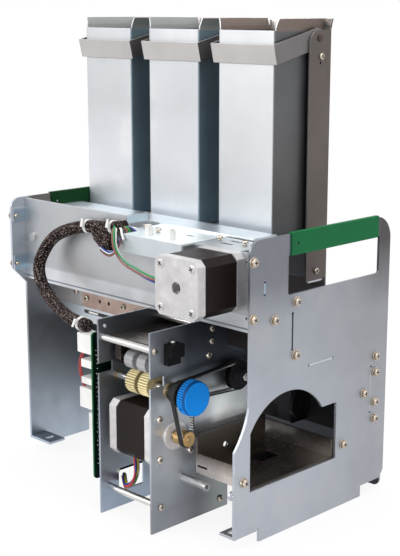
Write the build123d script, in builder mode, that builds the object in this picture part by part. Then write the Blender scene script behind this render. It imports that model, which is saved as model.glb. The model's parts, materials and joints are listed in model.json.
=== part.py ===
from build123d import *
from math import cos, pi, radians, sin, tan
import os

# Open-frame card dispensing unit with three magazines, a pick carriage under them and a
# roller transport at its front.  Millimetres; X runs along the front beam, Y from front
# to back, Z up.  The origin is at the middle of the unit, at the level of its lowest edge.

# ------------------------------------------------------------------ driving dimensions
inner_half_width = 135.0     # from the middle to the inner face of a side plate
frame_sheet = 2.0            # side plates
panel_sheet = 1.5            # beam, deck, cross panels, transport plates, tray
magazine_sheet = 1.2         # magazines and bails
front_y = -97.4              # front edges of the transport plates
rear_y = 97.4                # rear edges of the side plates
plate_top_z = 222.8
foot_z = 8.9                 # underside of the feet; the skirts reach down to zero
running_gap = 0.3            # between parts of different bodies
fit_gap = 0.1                # round a screw or a tab

upper_front_y = -61.8        # front edge of both side plates above the cheek
right_front_y = -76.4        # lower front edge of the right plate
left_front_y = -47.8         # lower front edge of the left plate
top_front_radius = 9.0
top_rear_radius = 18.0
handle_front_y = -22.1
handle_rear_y = 83.6
handle_low_z = 178.7
handle_high_z = 208.1
handle_corner = 2.2
grip_front_y = -19.9
grip_rear_y = 80.8
grip_wall = 1.0
grip_hole_y = -13.1
grip_hole_radius = 1.2
relief_radius = 1.15         # at the ends of the tab slots
skirt_front_y = -50.2
skirt_rear_y = 68.4
left_skirt_front_y = -29.4
relief = 2.0
foot_width = 14.5
left_foot_width = 25.3
foot_depth = 15.1
left_foot_depth = 16.4
rear_foot_front_y = 72.0
rear_chamfer = 4.6
slot_width = 4.6
slot_length = 8.0
slot_inset = 9.0
left_slot_inset = 16.6
cutout_left_y = -60.4
cutout_right_y = 35.9
cutout_low_z = 40.9
cutout_step_z = 86.0
cutout_step_y = 19.0
cutout_arc_z = 84.4
cutout_crown = (-20.2, 107.5)
cheek_low_z = 74.5
cheek_high_z = 104.0
cheek_mid = (-66.6, 89.3)

screw_radius = 1.5
screw_head_radius = 3.0
screw_head_height = 2.2
washer_radius = 3.9
washer_thickness = 0.8
screw_reach = 6.0

beam_y = -47.5               # front face of the front beam
beam_low_z = 153.0
beam_high_z = 221.9
beam_step_x = -5.6           # right of this the beam's upper edge is lower
beam_return_depth = 22.0
beam_tab_depth = 13.4
beam_tab_height = 12.0
beam_tab_z = (208.5, 168.0)
mid_panel_y = -17.4
mid_panel_low_z = 129.0
mid_panel_high_z = 178.0
flange_depth = 9.0
shelf_z = 121.2
shelf_rear_y = 60.0
shelf_tab_front_y = 2.8
shelf_tab_rear_y = 29.8
web_y = 77.1                 # rear panel web
rear_panel_high_z = 125.0
rear_panel_step_z = 50.0
back_beam_low_z = 130.0
back_beam_high_z = 151.0
back_beam_depth = 12.0
deck_z = 212.6               # top face of the deck
deck_front_y = -13.6
deck_side_margin = 7.6
deck_step_y = 12.0           # behind this the deck is lowered to the magazines' bed
deck_step = 6.0

magazine_pitch = 79.2
left_plate_to_middle = 109.3  # inner face of the left plate to the middle magazine's middle
card_width = 54.0
card_play = 1.0
magazine_front_y = 21.6
magazine_mouth_depth = 8.5   # the side and back walls flare above the front wall's edge
magazine_top_z = 370.0
back_flare = 2.4
flare_steps = 3
corner_set_back = 1.2        # front corner of the flared side walls
magazine_bend_radius = 1.6
card_gate = 1.2
back_plate_y = 80.3          # rear face of the magazine back plate
back_plate_low_z = 140.0
back_flange_front_y = 55.8
back_flange_low_z = 168.0
back_flange_corner = 10.0
back_flange_upper_drop = 28.1   # magazine top to the flange's upper screw
back_flange_hole_drop = 33.0
back_flange_hole_radius = 1.2
back_screw_z = 145.0

bail_reach = 48.75           # pivot to the inside of the front strip
bail_height = 15.0
bail_drop = 13.2             # degrees below level at rest
bail_side_gap = 2.6          # bail arm to magazine wall
bail_pivot_y = 67.1
bail_pivot_drop = 14.5       # magazine top to the pivot
pin_radius = 1.5
pin_clearance = 0.05

weight_play = 0.5
weight_height = 15.0
weight_knob_radius = 5.0
weight_knob_height = 12.0
lug_pitch = 28.0
lug_width = 4.0

carriage_x = 44.8            # where the carriage stands at rest, over the transport
carriage_length = 40.0
carriage_sheet = 3.0
carriage_drop = 6.6           # the magazines' bed to the carriage's top
carriage_front_y = -35.5
carriage_rear_y = 76.0
leg_thickness = 5.5
hub_radius = 7.0
rail_radius = 4.0
rail_y = -36.4
rail_z = 163.2
guide_drop = 8.0             # carriage top to guide top
guide_front_y = 68.0
guide_web = 26.0
guide_ear_low_z = 166.0
carriage_belt_y = -41.5      # middle of the carriage belt
carriage_belt_width = 6.0
carriage_lane = 6.6
belt_thickness = 1.3
belt_pitch = 2.0
pitch_line = 0.25            # from a tooth tip to the belt's pitch line
carriage_pulley_teeth = 25
carriage_flange_radius = 9.4
left_plate_to_idler = 11.0
idler_axle_radius = 2.0
clamp_length = 10.0

motor_size = 42.3
motor_bolt_pitch = 31.0
motor_corner = 4.2
motor_length = 47.2
motor_rear_cap = 7.5
motor_front_cap = 8.6
motor_boss_radius = 11.0
motor_boss_height = 2.5
motor_shaft_radius = 2.5
right_plate_to_motor_a = 35.6
motor_a_z = 190.0
motor_b_y = -73.4
motor_b_z = 71.5

transport_left_x = 17.3      # inner face of the left transport plate
transport_right_x = 73.8     # outer face of the right transport plate
transport_rear_y = 5.0
transport_low_rear_y = -17.3
tray_notch_y = -51.5
tray_notch_low_z = 36.0
tray_notch_high_z = 66.5
drive_axis_y = -78.2
drive_axis_z = 106.5
rear_axis_y = -14.6
shaft_radius = 3.0
bore_clearance = 0.05
feed_roller_radius = 8.6
feed_roller_width = 10.0
feed_roller_gap = 3.7
feed_mid_x = 46.75
pinch_roller_width = 9.0
pinch_roller_gap = 4.7
pinch_mid_x = 43.0
pinch_axis_rise = 15.9
hanger_width = 6.0
hanger_inset = 3.0
guide_front = -86.0          # upper card guide between the transport plates
guide_rear = -21.0
guide_z = 140.0
guide_flange = 10.0
knob_radius = 13.1
knob_length = 8.2
knob_start_x = 94.2
knob_grip_length = 5.2
knob_rim = 0.5               # the plain front band is this much smaller
knob_ribs = 44
knob_rib_radius = 0.45
knob_screw_radius = 1.5
knob_screw_angle = 27.0
transport_teeth = 28
motor_teeth = 16
feed_drive_teeth = 20
rear_teeth = 32
pulley_start_x = 78.6
transport_lane = 4.2
transport_belt_width = 3.6
pulley_flange = 0.6
pinch_radius = 7.0
pinch_shaft_radius = 2.5

tray_front_y = -60.7
tray_rear_y = 34.8
tray_floor_z = 40.9
tray_flange_z = 56.5
tray_wall_z = 69.0
tray_left_x = 83.0
tray_wide_y = 14.0
tray_wide_x = 60.0

board_x = 6.6
board_thickness = 1.6
board_front_y = -96.0
board_rear_y = -36.0
board_low_z = 24.5
board_high_z = 140.5
loom_radius = 5.0
lead_radius = 1.9

# ------------------------------------------------------------------ worked-out places
outer_half_width = inner_half_width + frame_sheet
magazine_width = card_width + card_play + 2 * magazine_sheet
middle_magazine_x = left_plate_to_middle - inner_half_width
magazine_xs = [middle_magazine_x + step * magazine_pitch for step in (-1, 0, 1)]
magazine_bend_z = magazine_top_z - magazine_mouth_depth
bail_pivot_z = magazine_top_z - bail_pivot_drop
back_flange_screws = [(69.0, magazine_top_z - back_flange_upper_drop), (67.8, 175.3)]
back_flange_hole = (68.3, magazine_top_z - back_flange_hole_drop)
bed_z = deck_z - deck_step
bed_low_z = bed_z - panel_sheet
carriage_top_z = bed_z - carriage_drop
guide_top_z = carriage_top_z - guide_drop
idler_x = left_plate_to_idler - inner_half_width
motor_a_x = inner_half_width - right_plate_to_motor_a
magazine_rear_y = back_plate_y - panel_sheet
magazine_mid_y = (magazine_front_y + magazine_rear_y) / 2
bail_half_width = magazine_width / 2 + bail_side_gap + magazine_sheet
side_flare = bail_side_gap - running_gap
deck_low_z = deck_z - panel_sheet
beam_side_z = deck_low_z - panel_sheet
bracket_y = beam_y - panel_sheet
motor_a_front_y = bracket_y
motor_a_rear_y = motor_a_front_y - motor_length
transport_right_inner_x = transport_right_x - panel_sheet
transport_left_outer_x = transport_left_x - panel_sheet
transport_mid_x = (transport_left_x + transport_right_inner_x) / 2
deck_left_x = -(inner_half_width - grip_wall - running_gap)
back_right_x = magazine_xs[-1] + bail_half_width + running_gap     # inner face, right flange
back_left_x = magazine_xs[0] - bail_half_width - running_gap       # inner face, left flange
deck_right_x = back_right_x + panel_sheet + deck_side_margin
carriage_pulley_radius = carriage_pulley_teeth * belt_pitch / (2 * pi) - pitch_line
transport_pulley_radius = transport_teeth * belt_pitch / (2 * pi) - pitch_line
feed_drive_radius = feed_drive_teeth * belt_pitch / (2 * pi) - pitch_line
rear_pulley_radius = rear_teeth * belt_pitch / (2 * pi) - pitch_line
motor_pulley_radius = motor_teeth * belt_pitch / (2 * pi) - pitch_line
lug_ys = (magazine_mid_y - lug_pitch / 2, magazine_mid_y + lug_pitch / 2)
pinch_axis_z = drive_axis_z + pinch_axis_rise

# Screws through the side plates: (Y, Z)
beam_screw_y = -58.8
beam_screws = [(beam_screw_y, z - 0.5) for z in beam_tab_z]
rail_screw = (rail_y, rail_z)
mid_screws = [(-13.0, 172.7), (-13.0, 133.0)]
rear_screws = [(83.2, z) for z in (112.7, 99.8, 75.3, 61.6)]
ear_screw = (69.2, 85.2)
ear_z = (76.0, 94.0)
ear_depth = 14.0
unit_screws = [(50.0, 62.0), (104.0, 108.0)]    # (X, Z), through the rear panel's web
panel_holes = [(-75.4, 136.8), (-63.9, 136.8), (-30.0, 136.8)]      # (X, Z), middle panel
panel_screws = [(-92.2, 137.1), (-106.1, 140.9), (-45.4, 137.4)]    # (X, Z), middle panel
tray_screws = [(44.6, 50.0), (-66.7, 50.0)]
side_screws = beam_screws + mid_screws + rear_screws + [rail_screw, ear_screw]

os.makedirs("parts", exist_ok=True)


def save(piece, name):
    piece.part.label = name
    export_step(piece.part, f"parts/{name}.step")


def block(low, high, mode=Mode.ADD):
    """A box between two corners, in the part that is being built."""
    size = [b - a for a, b in zip(low, high)]
    centre = [(a + b) / 2 for a, b in zip(low, high)]
    with Locations(tuple(centre)):
        Box(*size, mode=mode)


def side_holes(places, radius, near_x, depth, mode=Mode.SUBTRACT):
    """Round holes along X at the listed (Y, Z) places, starting at near_x."""
    with BuildSketch(Plane.YZ.offset(near_x)) as holes:
        with Locations(*places):
            Circle(radius)
    extrude(holes.sketch, amount=depth, mode=mode)


# ------------------------------------------------------------------ side plates
def plate_window_tools(near_x, tab_slots):
    """The handle opening and the tab slots that both side plates have."""
    with BuildSketch(Plane.YZ.offset(near_x)) as windows:
        with Locations(((handle_front_y + handle_rear_y) / 2, (handle_low_z + handle_high_z) / 2)):
            RectangleRounded(handle_rear_y - handle_front_y, handle_high_z - handle_low_z,
                             handle_corner)
        for y, z, width, height in tab_slots:
            with Locations((y, z)):
                Rectangle(width + 2 * fit_gap, height + 2 * fit_gap)
            if width < height:
                ends = [(y, z - height / 2), (y, z + height / 2)]
            else:
                ends = [(y - width / 2, z), (y + width / 2, z)]
            with Locations(*ends):
                Circle(relief_radius)
        with Locations((grip_hole_y, (handle_high_z + plate_top_z) / 2)):
            Circle(grip_hole_radius)
    extrude(windows.sketch, amount=frame_sheet, mode=Mode.SUBTRACT)


# The cross members' tabs show flush in these slots: (Y, Z, width along Y, height along Z)
beam_slot = (beam_y + panel_sheet / 2, 187.6, panel_sheet, 8.0)
mid_slot = (mid_panel_y + panel_sheet / 2, 151.2, panel_sheet, 26.5)
web_slot = (web_y + panel_sheet / 2, 86.4, panel_sheet, 36.4)
shelf_slot = ((shelf_tab_front_y + shelf_tab_rear_y) / 2, shelf_z + panel_sheet / 2,
              shelf_tab_rear_y - shelf_tab_front_y, panel_sheet)
tab_slots = [beam_slot, mid_slot, web_slot, shelf_slot]


def foot(inner_x, outer_x, y0, y1, slot_x):
    """A foot bent inwards at the bottom of a side plate, with its slotted hole."""
    block((min(inner_x, outer_x), y0, foot_z), (max(inner_x, outer_x), y1, foot_z + frame_sheet))
    with BuildSketch(Plane.XY.offset(foot_z)) as slot:
        with Locations((slot_x, (y0 + y1) / 2)):
            SlotOverall(slot_length, slot_width, rotation=90)
    extrude(slot.sketch, amount=frame_sheet, mode=Mode.SUBTRACT)


with BuildPart() as right_side_plate:
    with BuildSketch(Plane.YZ.offset(inner_half_width)):
        with BuildLine():
            Polyline(
                (upper_front_y, cheek_high_z), (upper_front_y, plate_top_z),
                (rear_y, plate_top_z), (rear_y, foot_z + 6.3),
                (rear_y - rear_chamfer, foot_z), (skirt_rear_y, foot_z),
                (skirt_rear_y, 0), (skirt_front_y, 0),
                (skirt_front_y, foot_z + frame_sheet), (skirt_front_y - relief, foot_z + frame_sheet),
                (skirt_front_y - relief, foot_z), (right_front_y, foot_z),
                (right_front_y, cheek_low_z))
            ThreePointArc((right_front_y, cheek_low_z), cheek_mid, (upper_front_y, cheek_high_z))
        make_face()
        fillet(vertices().group_by(Axis.Y)[-1].sort_by(Axis.X)[0], top_front_radius)
        fillet(vertices().group_by(Axis.Y)[-1].sort_by(Axis.X)[-1], top_rear_radius)
    extrude(amount=frame_sheet)
    with BuildSketch(Plane.YZ.offset(inner_half_width)):
        with BuildLine():
            Polyline((cutout_left_y, cutout_arc_z), (cutout_left_y, cutout_low_z),
                     (cutout_right_y, cutout_low_z), (cutout_right_y, cutout_step_z),
                     (cutout_step_y, cutout_step_z))
            ThreePointArc((cutout_step_y, cutout_step_z), cutout_crown,
                          (cutout_left_y, cutout_arc_z))
        make_face()
    extrude(amount=frame_sheet, mode=Mode.SUBTRACT)
    plate_window_tools(inner_half_width, tab_slots)
    side_holes(side_screws + tray_screws, screw_radius + fit_gap, inner_half_width, frame_sheet)
    foot(outer_half_width - foot_width, outer_half_width, right_front_y,
         right_front_y + foot_depth, outer_half_width - slot_inset)
    foot(outer_half_width - foot_width, outer_half_width, rear_foot_front_y,
         rear_y - rear_chamfer, outer_half_width - slot_inset)
    with BuildSketch(Plane.YZ.offset(inner_half_width)):
        with Locations((right_front_y - 1.5, 43.0)):
            Circle(3.4)
    extrude(amount=frame_sheet)
    side_holes([(right_front_y - 1.5, 43.0)], 1.1, inner_half_width, frame_sheet)
save(right_side_plate, "right_side_plate")

with BuildPart() as left_side_plate:
    with BuildSketch(Plane.YZ.offset(-outer_half_width)):
        with BuildLine():
            Polyline(
                (upper_front_y, 163.3), (upper_front_y, plate_top_z),
                (rear_y, plate_top_z), (rear_y, foot_z + 6.3),
                (rear_y - rear_chamfer, foot_z), (skirt_rear_y, foot_z),
                (skirt_rear_y, 0), (left_skirt_front_y, 0),
                (left_skirt_front_y, foot_z + frame_sheet),
                (left_skirt_front_y - relief, foot_z + frame_sheet),
                (left_skirt_front_y - relief, foot_z), (left_front_y, foot_z),
                (left_front_y, 149.3), close=True)
        make_face()
        fillet(vertices().group_by(Axis.Y)[-1].sort_by(Axis.X)[0], top_front_radius)
        fillet(vertices().group_by(Axis.Y)[-1].sort_by(Axis.X)[-1], top_rear_radius)
    extrude(amount=frame_sheet)
    plate_window_tools(-outer_half_width, tab_slots)
    side_holes(side_screws, screw_radius + fit_gap, -outer_half_width, frame_sheet)
    foot(-outer_half_width, -outer_half_width + left_foot_width + frame_sheet, left_front_y,
         left_front_y + left_foot_depth, -outer_half_width + left_slot_inset)
    foot(-outer_half_width, -outer_half_width + left_foot_width + frame_sheet, rear_foot_front_y,
         rear_y - rear_chamfer, -outer_half_width + left_slot_inset)
save(left_side_plate, "left_side_plate")

# Handle grips: moulded sleeves round the bars above the handle openings
with BuildPart() as handle_grips:
    for near_x in (-outer_half_width, inner_half_width):
        block((near_x - grip_wall, grip_front_y, handle_high_z - grip_wall),
              (near_x + frame_sheet + grip_wall, grip_rear_y, plate_top_z + grip_wall))
    fillet(handle_grips.edges().filter_by(Axis.Y), 0.8)
    for near_x in (-outer_half_width, inner_half_width):
        block((near_x, grip_front_y, handle_high_z), (near_x + frame_sheet, grip_rear_y, plate_top_z),
              Mode.SUBTRACT)
        side_holes([(grip_hole_y, (handle_high_z + plate_top_z) / 2)], grip_hole_radius,
                   near_x - grip_wall, frame_sheet + 2 * grip_wall)
save(handle_grips, "handle_grips")


# ------------------------------------------------------------------ cross members
def end_tabs(y0, y1, z0, z1):
    """Tabs at both ends of a cross member that stand in the side plates' slots."""
    for sign in (-1, 1):
        block((min(sign * inner_half_width, sign * outer_half_width), y0, z0),
              (max(sign * inner_half_width, sign * outer_half_width), y1, z1))


def end_flanges(y0, y1, z0, z1, screws):
    """Flanges bent along the side plates' inner faces, with their screw holes."""
    for sign in (-1, 1):
        inner = sign * (inner_half_width - panel_sheet)
        outer = sign * inner_half_width
        block((min(inner, outer), y0, z0), (max(inner, outer), y1, z1))
        side_holes(screws, screw_radius + fit_gap, min(inner, outer), panel_sheet)


with BuildPart() as front_beam:
    block((-inner_half_width, beam_y, beam_low_z), (inner_half_width, beam_y + panel_sheet, beam_high_z))
    block((beam_step_x, beam_y, beam_side_z), (inner_half_width, beam_y + panel_sheet, beam_high_z),
          Mode.SUBTRACT)
    block((beam_step_x - panel_sheet, beam_y, beam_side_z + 6),
          (beam_step_x, beam_y + beam_return_depth, beam_high_z))
    block((-inner_half_width, beam_y, beam_low_z), (inner_half_width, mid_panel_y, beam_low_z + panel_sheet))
    for tab_z in beam_tab_z:
        end_flanges(beam_y - beam_tab_depth, beam_y + panel_sheet, tab_z - beam_tab_height / 2,
                    tab_z + beam_tab_height / 2, [(beam_screw_y, tab_z - 0.5)])
    end_tabs(beam_slot[0] - panel_sheet / 2, beam_slot[0] + panel_sheet / 2,
             beam_slot[1] - beam_slot[3] / 2, beam_slot[1] + beam_slot[3] / 2)
    with BuildSketch(Plane.XZ.offset(-beam_y)):
        with Locations((motor_a_x, motor_a_z)):
            Circle(motor_boss_radius + running_gap)
        with Locations((idler_x, motor_a_z)):
            Circle(2.0 + fit_gap)
    extrude(amount=-panel_sheet, mode=Mode.SUBTRACT)
save(front_beam, "front_beam")

with BuildPart() as mid_panel:
    block((-inner_half_width, mid_panel_y, mid_panel_low_z),
          (inner_half_width, mid_panel_y + panel_sheet, mid_panel_high_z))
    end_flanges(mid_panel_y, mid_panel_y + flange_depth, mid_panel_low_z, mid_panel_high_z, mid_screws)
    end_tabs(mid_panel_y, mid_panel_y + panel_sheet, mid_slot[1] - mid_slot[3] / 2,
             mid_slot[1] + mid_slot[3] / 2)
    with BuildSketch(Plane.XZ.offset(-mid_panel_y)):
        with Locations(*panel_holes):
            Circle(1.6)
        with Locations(*panel_screws):
            Circle(screw_radius + fit_gap)
    extrude(amount=-panel_sheet, mode=Mode.SUBTRACT)
save(mid_panel, "mid_panel")

with BuildPart() as card_shelf:
    shelf_front_y = mid_panel_y + panel_sheet
    block((-inner_half_width, shelf_front_y, shelf_z), (transport_left_outer_x - running_gap,
          shelf_rear_y, shelf_z + panel_sheet))
    block((-inner_half_width, transport_rear_y + running_gap, shelf_z),
          (inner_half_width, shelf_rear_y, shelf_z + panel_sheet))
    block((-inner_half_width, shelf_front_y - panel_sheet, shelf_z - 5.0),
          (transport_left_outer_x - running_gap, shelf_front_y, shelf_z + panel_sheet))
    end_tabs(shelf_tab_front_y, shelf_tab_rear_y, shelf_z, shelf_z + panel_sheet)
save(card_shelf, "card_shelf")

with BuildPart() as rear_panel:
    block((-inner_half_width, web_y, rear_panel_step_z), (inner_half_width, web_y + panel_sheet,
          rear_panel_high_z))
    block((-inner_half_width, web_y, rear_panel_step_z),
          (inner_half_width, rear_y, rear_panel_step_z + panel_sheet))
    with BuildSketch(Plane.XZ.offset(-(rear_y - panel_sheet))):
        with Locations((0, rear_panel_step_z / 2)):
            Rectangle(2 * inner_half_width, rear_panel_step_z)
        fillet(vertices().group_by(Axis.Y)[0], 6.0)
    extrude(amount=-panel_sheet)
    with BuildSketch(Plane.XZ.offset(-web_y)):
        with Locations(*unit_screws):
            Circle(screw_radius + fit_gap)
    extrude(amount=-panel_sheet, mode=Mode.SUBTRACT)
    end_flanges(web_y, web_y + flange_depth + 3, rear_panel_step_z, rear_panel_high_z, rear_screws)
    end_tabs(web_y, web_y + panel_sheet, web_slot[1] - web_slot[3] / 2, web_slot[1] + web_slot[3] / 2)
    for sign in (-1, 1):
        inner = sign * (inner_half_width - panel_sheet)
        outer = sign * inner_half_width
        block((min(inner, outer), web_y - ear_depth, ear_z[0]), (max(inner, outer), web_y, ear_z[1]))
        side_holes([ear_screw], screw_radius + fit_gap, min(inner, outer), panel_sheet)
save(rear_panel, "rear_panel")

with BuildPart() as back_beam:
    block((-inner_half_width, back_plate_y, back_beam_low_z),
          (inner_half_width, back_plate_y + panel_sheet, back_beam_high_z))
    for z in (back_beam_low_z, back_beam_high_z - panel_sheet):
        block((-inner_half_width, back_plate_y, z),
              (inner_half_width, back_plate_y + back_beam_depth, z + panel_sheet))
    with BuildSketch(Plane.XZ.offset(-back_plate_y)):
        with Locations(*[(x, back_screw_z) for x in magazine_xs]):
            Circle(screw_radius + fit_gap)
    extrude(amount=-panel_sheet, mode=Mode.SUBTRACT)
save(back_beam, "back_beam")

with BuildPart() as deck_plate:
    block((deck_left_x, deck_front_y, deck_low_z), (deck_right_x, deck_step_y, deck_z))
    block((deck_left_x, deck_step_y - panel_sheet, bed_low_z), (deck_right_x, deck_step_y, deck_z))
    block((deck_left_x, deck_step_y - panel_sheet, bed_low_z), (deck_right_x, magazine_rear_y, bed_z))
    block((deck_left_x, deck_front_y, bed_low_z), (beam_step_x, deck_front_y + panel_sheet, deck_z))
    for y in lug_ys:
        block((deck_left_x + 4, y - lug_width / 2 - 1, bed_low_z),
              (deck_right_x - 6, y + lug_width / 2 + 1, bed_z), Mode.SUBTRACT)
    block((back_right_x - fit_gap, back_flange_front_y - fit_gap, bed_low_z),
          (back_right_x + panel_sheet + fit_gap, magazine_rear_y, bed_z), Mode.SUBTRACT)
save(deck_plate, "deck_plate")


# ------------------------------------------------------------------ more helpers
def rod_x(y, z, x0, x1, radius, mode=Mode.ADD):
    """A round bar along X in the part that is being built."""
    with Locations(Location(((x0 + x1) / 2, y, z), (0, 90, 0))):
        Cylinder(radius, abs(x1 - x0), mode=mode)


def rod_y(x, z, y0, y1, radius, mode=Mode.ADD):
    """A round bar along Y in the part that is being built."""
    with Locations(Location((x, (y0 + y1) / 2, z), (90, 0, 0))):
        Cylinder(radius, abs(y1 - y0), mode=mode)


def rod_z(x, y, z0, z1, radius, mode=Mode.ADD):
    """A round bar along Z in the part that is being built."""
    with Locations((x, y, (z0 + z1) / 2)):
        Cylinder(radius, abs(z1 - z0), mode=mode)


def grooved_pulley_x(y, z, x0, lanes, lane, lane_radius, flange_radius):
    """A flanged belt pulley along X with the given number of lanes."""
    width = lanes * lane + (lanes + 1) * pulley_flange
    rod_x(y, z, x0, x0 + width, lane_radius)
    for step in range(lanes + 1):
        near_x = x0 + step * (lane + pulley_flange)
        rod_x(y, z, near_x, near_x + pulley_flange, flange_radius)


def belt_loop(plane, first, first_radius, second, second_radius, width):
    """A toothed belt round two pulleys, standing clear of both by the running gap."""
    for grow, mode in ((belt_thickness, Mode.ADD), (0, Mode.SUBTRACT)):
        with BuildSketch(plane) as loop:
            with Locations(first):
                Circle(first_radius + running_gap + grow)
            with Locations(second):
                Circle(second_radius + running_gap + grow)
            make_hull()
        extrude(loop.sketch, amount=width, mode=mode)


# ------------------------------------------------------------------ magazines
def flare_profile(sign, outer_x, flare):
    """Outward-curling wall above the bend: outer side up, inner side down."""
    def reach(step):
        share = step / flare_steps
        return (sign * flare * share ** 1.6, magazine_bend_z + magazine_mouth_depth * share)
    outline = [reach(step) for step in range(flare_steps + 1)]
    inner = [(across - sign * magazine_sheet, z) for across, z in reversed(outline)]
    return [(outer_x + across, z) for across, z in outline + inner]


for side, mid_x in zip(("left", "middle", "right"), magazine_xs):
    half = magazine_width / 2
    with BuildPart() as magazine:
        with BuildSketch(Plane.XY.offset(bed_z + card_gate)):
            with Locations((mid_x, magazine_mid_y)):
                Rectangle(magazine_width, magazine_rear_y - magazine_front_y)
            fillet(vertices().group_by(Axis.Y)[0], magazine_bend_radius)
        extrude(amount=magazine_bend_z - bed_z - card_gate)
        with BuildSketch(Plane.XY.offset(bed_z)):
            with Locations((mid_x, magazine_mid_y + magazine_sheet / 2)):
                Rectangle(magazine_width - 2 * magazine_sheet,
                          magazine_rear_y - magazine_front_y - magazine_sheet)
            fillet(vertices().group_by(Axis.Y)[0], magazine_bend_radius - magazine_sheet)
        extrude(amount=magazine_bend_z - bed_z, mode=Mode.SUBTRACT)
        block((mid_x - half + 6, magazine_front_y, bed_z),
              (mid_x + half - 6, magazine_front_y + magazine_sheet, bed_z + card_gate))
        for sign in (-1, 1):
            with BuildSketch(Plane.XZ.offset(-(magazine_front_y + magazine_bend_radius))):
                with BuildLine():
                    Polyline(*flare_profile(sign, mid_x + sign * half, side_flare), close=True)
                make_face()
            extrude(amount=-(magazine_rear_y - magazine_front_y - magazine_bend_radius))
        with BuildSketch(Plane.YZ.offset(mid_x - half - side_flare)):
            with BuildLine():
                corner_y = magazine_front_y + magazine_bend_radius
                Polyline((corner_y, magazine_bend_z + 2), (corner_y + corner_set_back, magazine_top_z),
                         (corner_y, magazine_top_z), close=True)
            make_face()
        extrude(amount=magazine_width + 2 * side_flare, mode=Mode.SUBTRACT)
    save(magazine, f"magazine_{side}")

    with BuildPart() as weight:
        play_x = half - magazine_sheet - weight_play
        low_z = bed_z + running_gap
        block((mid_x - play_x, magazine_front_y + magazine_sheet + weight_play, low_z),
              (mid_x + play_x, magazine_rear_y - weight_play, low_z + weight_height))
        chamfer(weight.edges().filter_by(Axis.Z), 1.5)
        rod_z(mid_x, magazine_mid_y, low_z + weight_height, low_z + weight_height + weight_knob_height,
              weight_knob_radius)
    save(weight, f"stack_weight_{side}")

# Back plate shared by the three magazines, with a flange at each end for the outer bails
left_flange_low_z = plate_top_z + 3.2
with BuildPart() as magazine_back_plate:
    block((max(deck_left_x, back_left_x - panel_sheet), magazine_rear_y, back_plate_low_z),
          (back_right_x + panel_sheet, back_plate_y, magazine_bend_z))
    block((back_left_x - panel_sheet, magazine_rear_y, left_flange_low_z),
          (back_right_x, back_plate_y, magazine_bend_z))
    with BuildSketch(Plane.YZ.offset(back_left_x - panel_sheet)):
        with BuildLine():
            Polyline((magazine_rear_y, magazine_bend_z),
                     (magazine_rear_y + back_flare, magazine_top_z),
                     (back_plate_y + back_flare, magazine_top_z),
                     (back_plate_y, magazine_bend_z), close=True)
        make_face()
    extrude(amount=back_right_x - back_left_x + 2 * panel_sheet)
    for near_x, low_z in ((back_right_x, back_flange_low_z), (back_left_x - panel_sheet, left_flange_low_z)):
        with BuildSketch(Plane.YZ.offset(near_x)):
            with BuildLine():
                Polyline((magazine_rear_y, low_z), (back_flange_front_y, low_z),
                         (back_flange_front_y, magazine_bend_z), (magazine_rear_y, magazine_bend_z),
                         close=True)
            make_face()
            fillet(vertices().group_by(Axis.Y)[-1].sort_by(Axis.X)[0], back_flange_corner)
        extrude(amount=panel_sheet)
        side_holes([(bail_pivot_y, bail_pivot_z)], pin_radius + pin_clearance, near_x, panel_sheet)
    side_holes(back_flange_screws, screw_radius + fit_gap, back_right_x, panel_sheet)
    side_holes([back_flange_hole], back_flange_hole_radius, back_right_x, panel_sheet)
    with BuildSketch(Plane.XZ.offset(-magazine_rear_y)):
        with Locations(*[(x, back_screw_z) for x in magazine_xs]):
            Circle(screw_radius + fit_gap)
    extrude(amount=-panel_sheet, mode=Mode.SUBTRACT)
save(magazine_back_plate, "magazine_back_plate")

# Bails: straps that swing up about pins near the back plate
bail_plane = Plane(origin=(0, bail_pivot_y, bail_pivot_z),
                   x_dir=(0, -cos(radians(bail_drop)), -sin(radians(bail_drop))), z_dir=(1, 0, 0))
for side, mid_x in zip(("left", "middle", "right"), magazine_xs):
    with BuildPart() as bail:
        strap = bail_plane.offset(mid_x - bail_half_width)
        with BuildSketch(strap):
            Circle(bail_height / 2)
            with Locations(((bail_reach + magazine_sheet) / 2, 0)):
                Rectangle(bail_reach + magazine_sheet, bail_height)
        extrude(amount=2 * bail_half_width)
        with BuildSketch(bail_plane.offset(mid_x - bail_half_width + magazine_sheet)):
            with Locations(((bail_reach - bail_height) / 2, 0)):
                Rectangle(bail_reach + bail_height, bail_height + 1)
        extrude(amount=2 * (bail_half_width - magazine_sheet), mode=Mode.SUBTRACT)
        side_holes([(bail_pivot_y, bail_pivot_z)], pin_radius + pin_clearance,
                   mid_x - bail_half_width, 2 * bail_half_width)
    save(bail, f"bail_{side}")

# Brackets between neighbouring magazines that carry the inner ends of the bails
bracket_half = magazine_pitch / 2 - bail_half_width - running_gap
bracket_front = 7.0           # from the pivot to the bracket's edges
bracket_under = 9.0
bracket_over = 7.5
bracket_xs = [(a + b) / 2 for a, b in zip(magazine_xs, magazine_xs[1:])]
with BuildPart() as bail_brackets:
    for mid_x in bracket_xs:
        block((mid_x - bracket_half, bail_pivot_y - bracket_front, bail_pivot_z - bracket_under),
              (mid_x + bracket_half, magazine_rear_y, bail_pivot_z + bracket_over))
        block((mid_x - bracket_half + magazine_sheet, bail_pivot_y - bracket_front,
               bail_pivot_z - bracket_under),
              (mid_x + bracket_half - magazine_sheet, magazine_rear_y - magazine_sheet,
               bail_pivot_z + bracket_over), Mode.SUBTRACT)
        side_holes([(bail_pivot_y, bail_pivot_z)], pin_radius + pin_clearance, mid_x - bracket_half,
                   2 * bracket_half)
save(bail_brackets, "bail_brackets")

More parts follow.
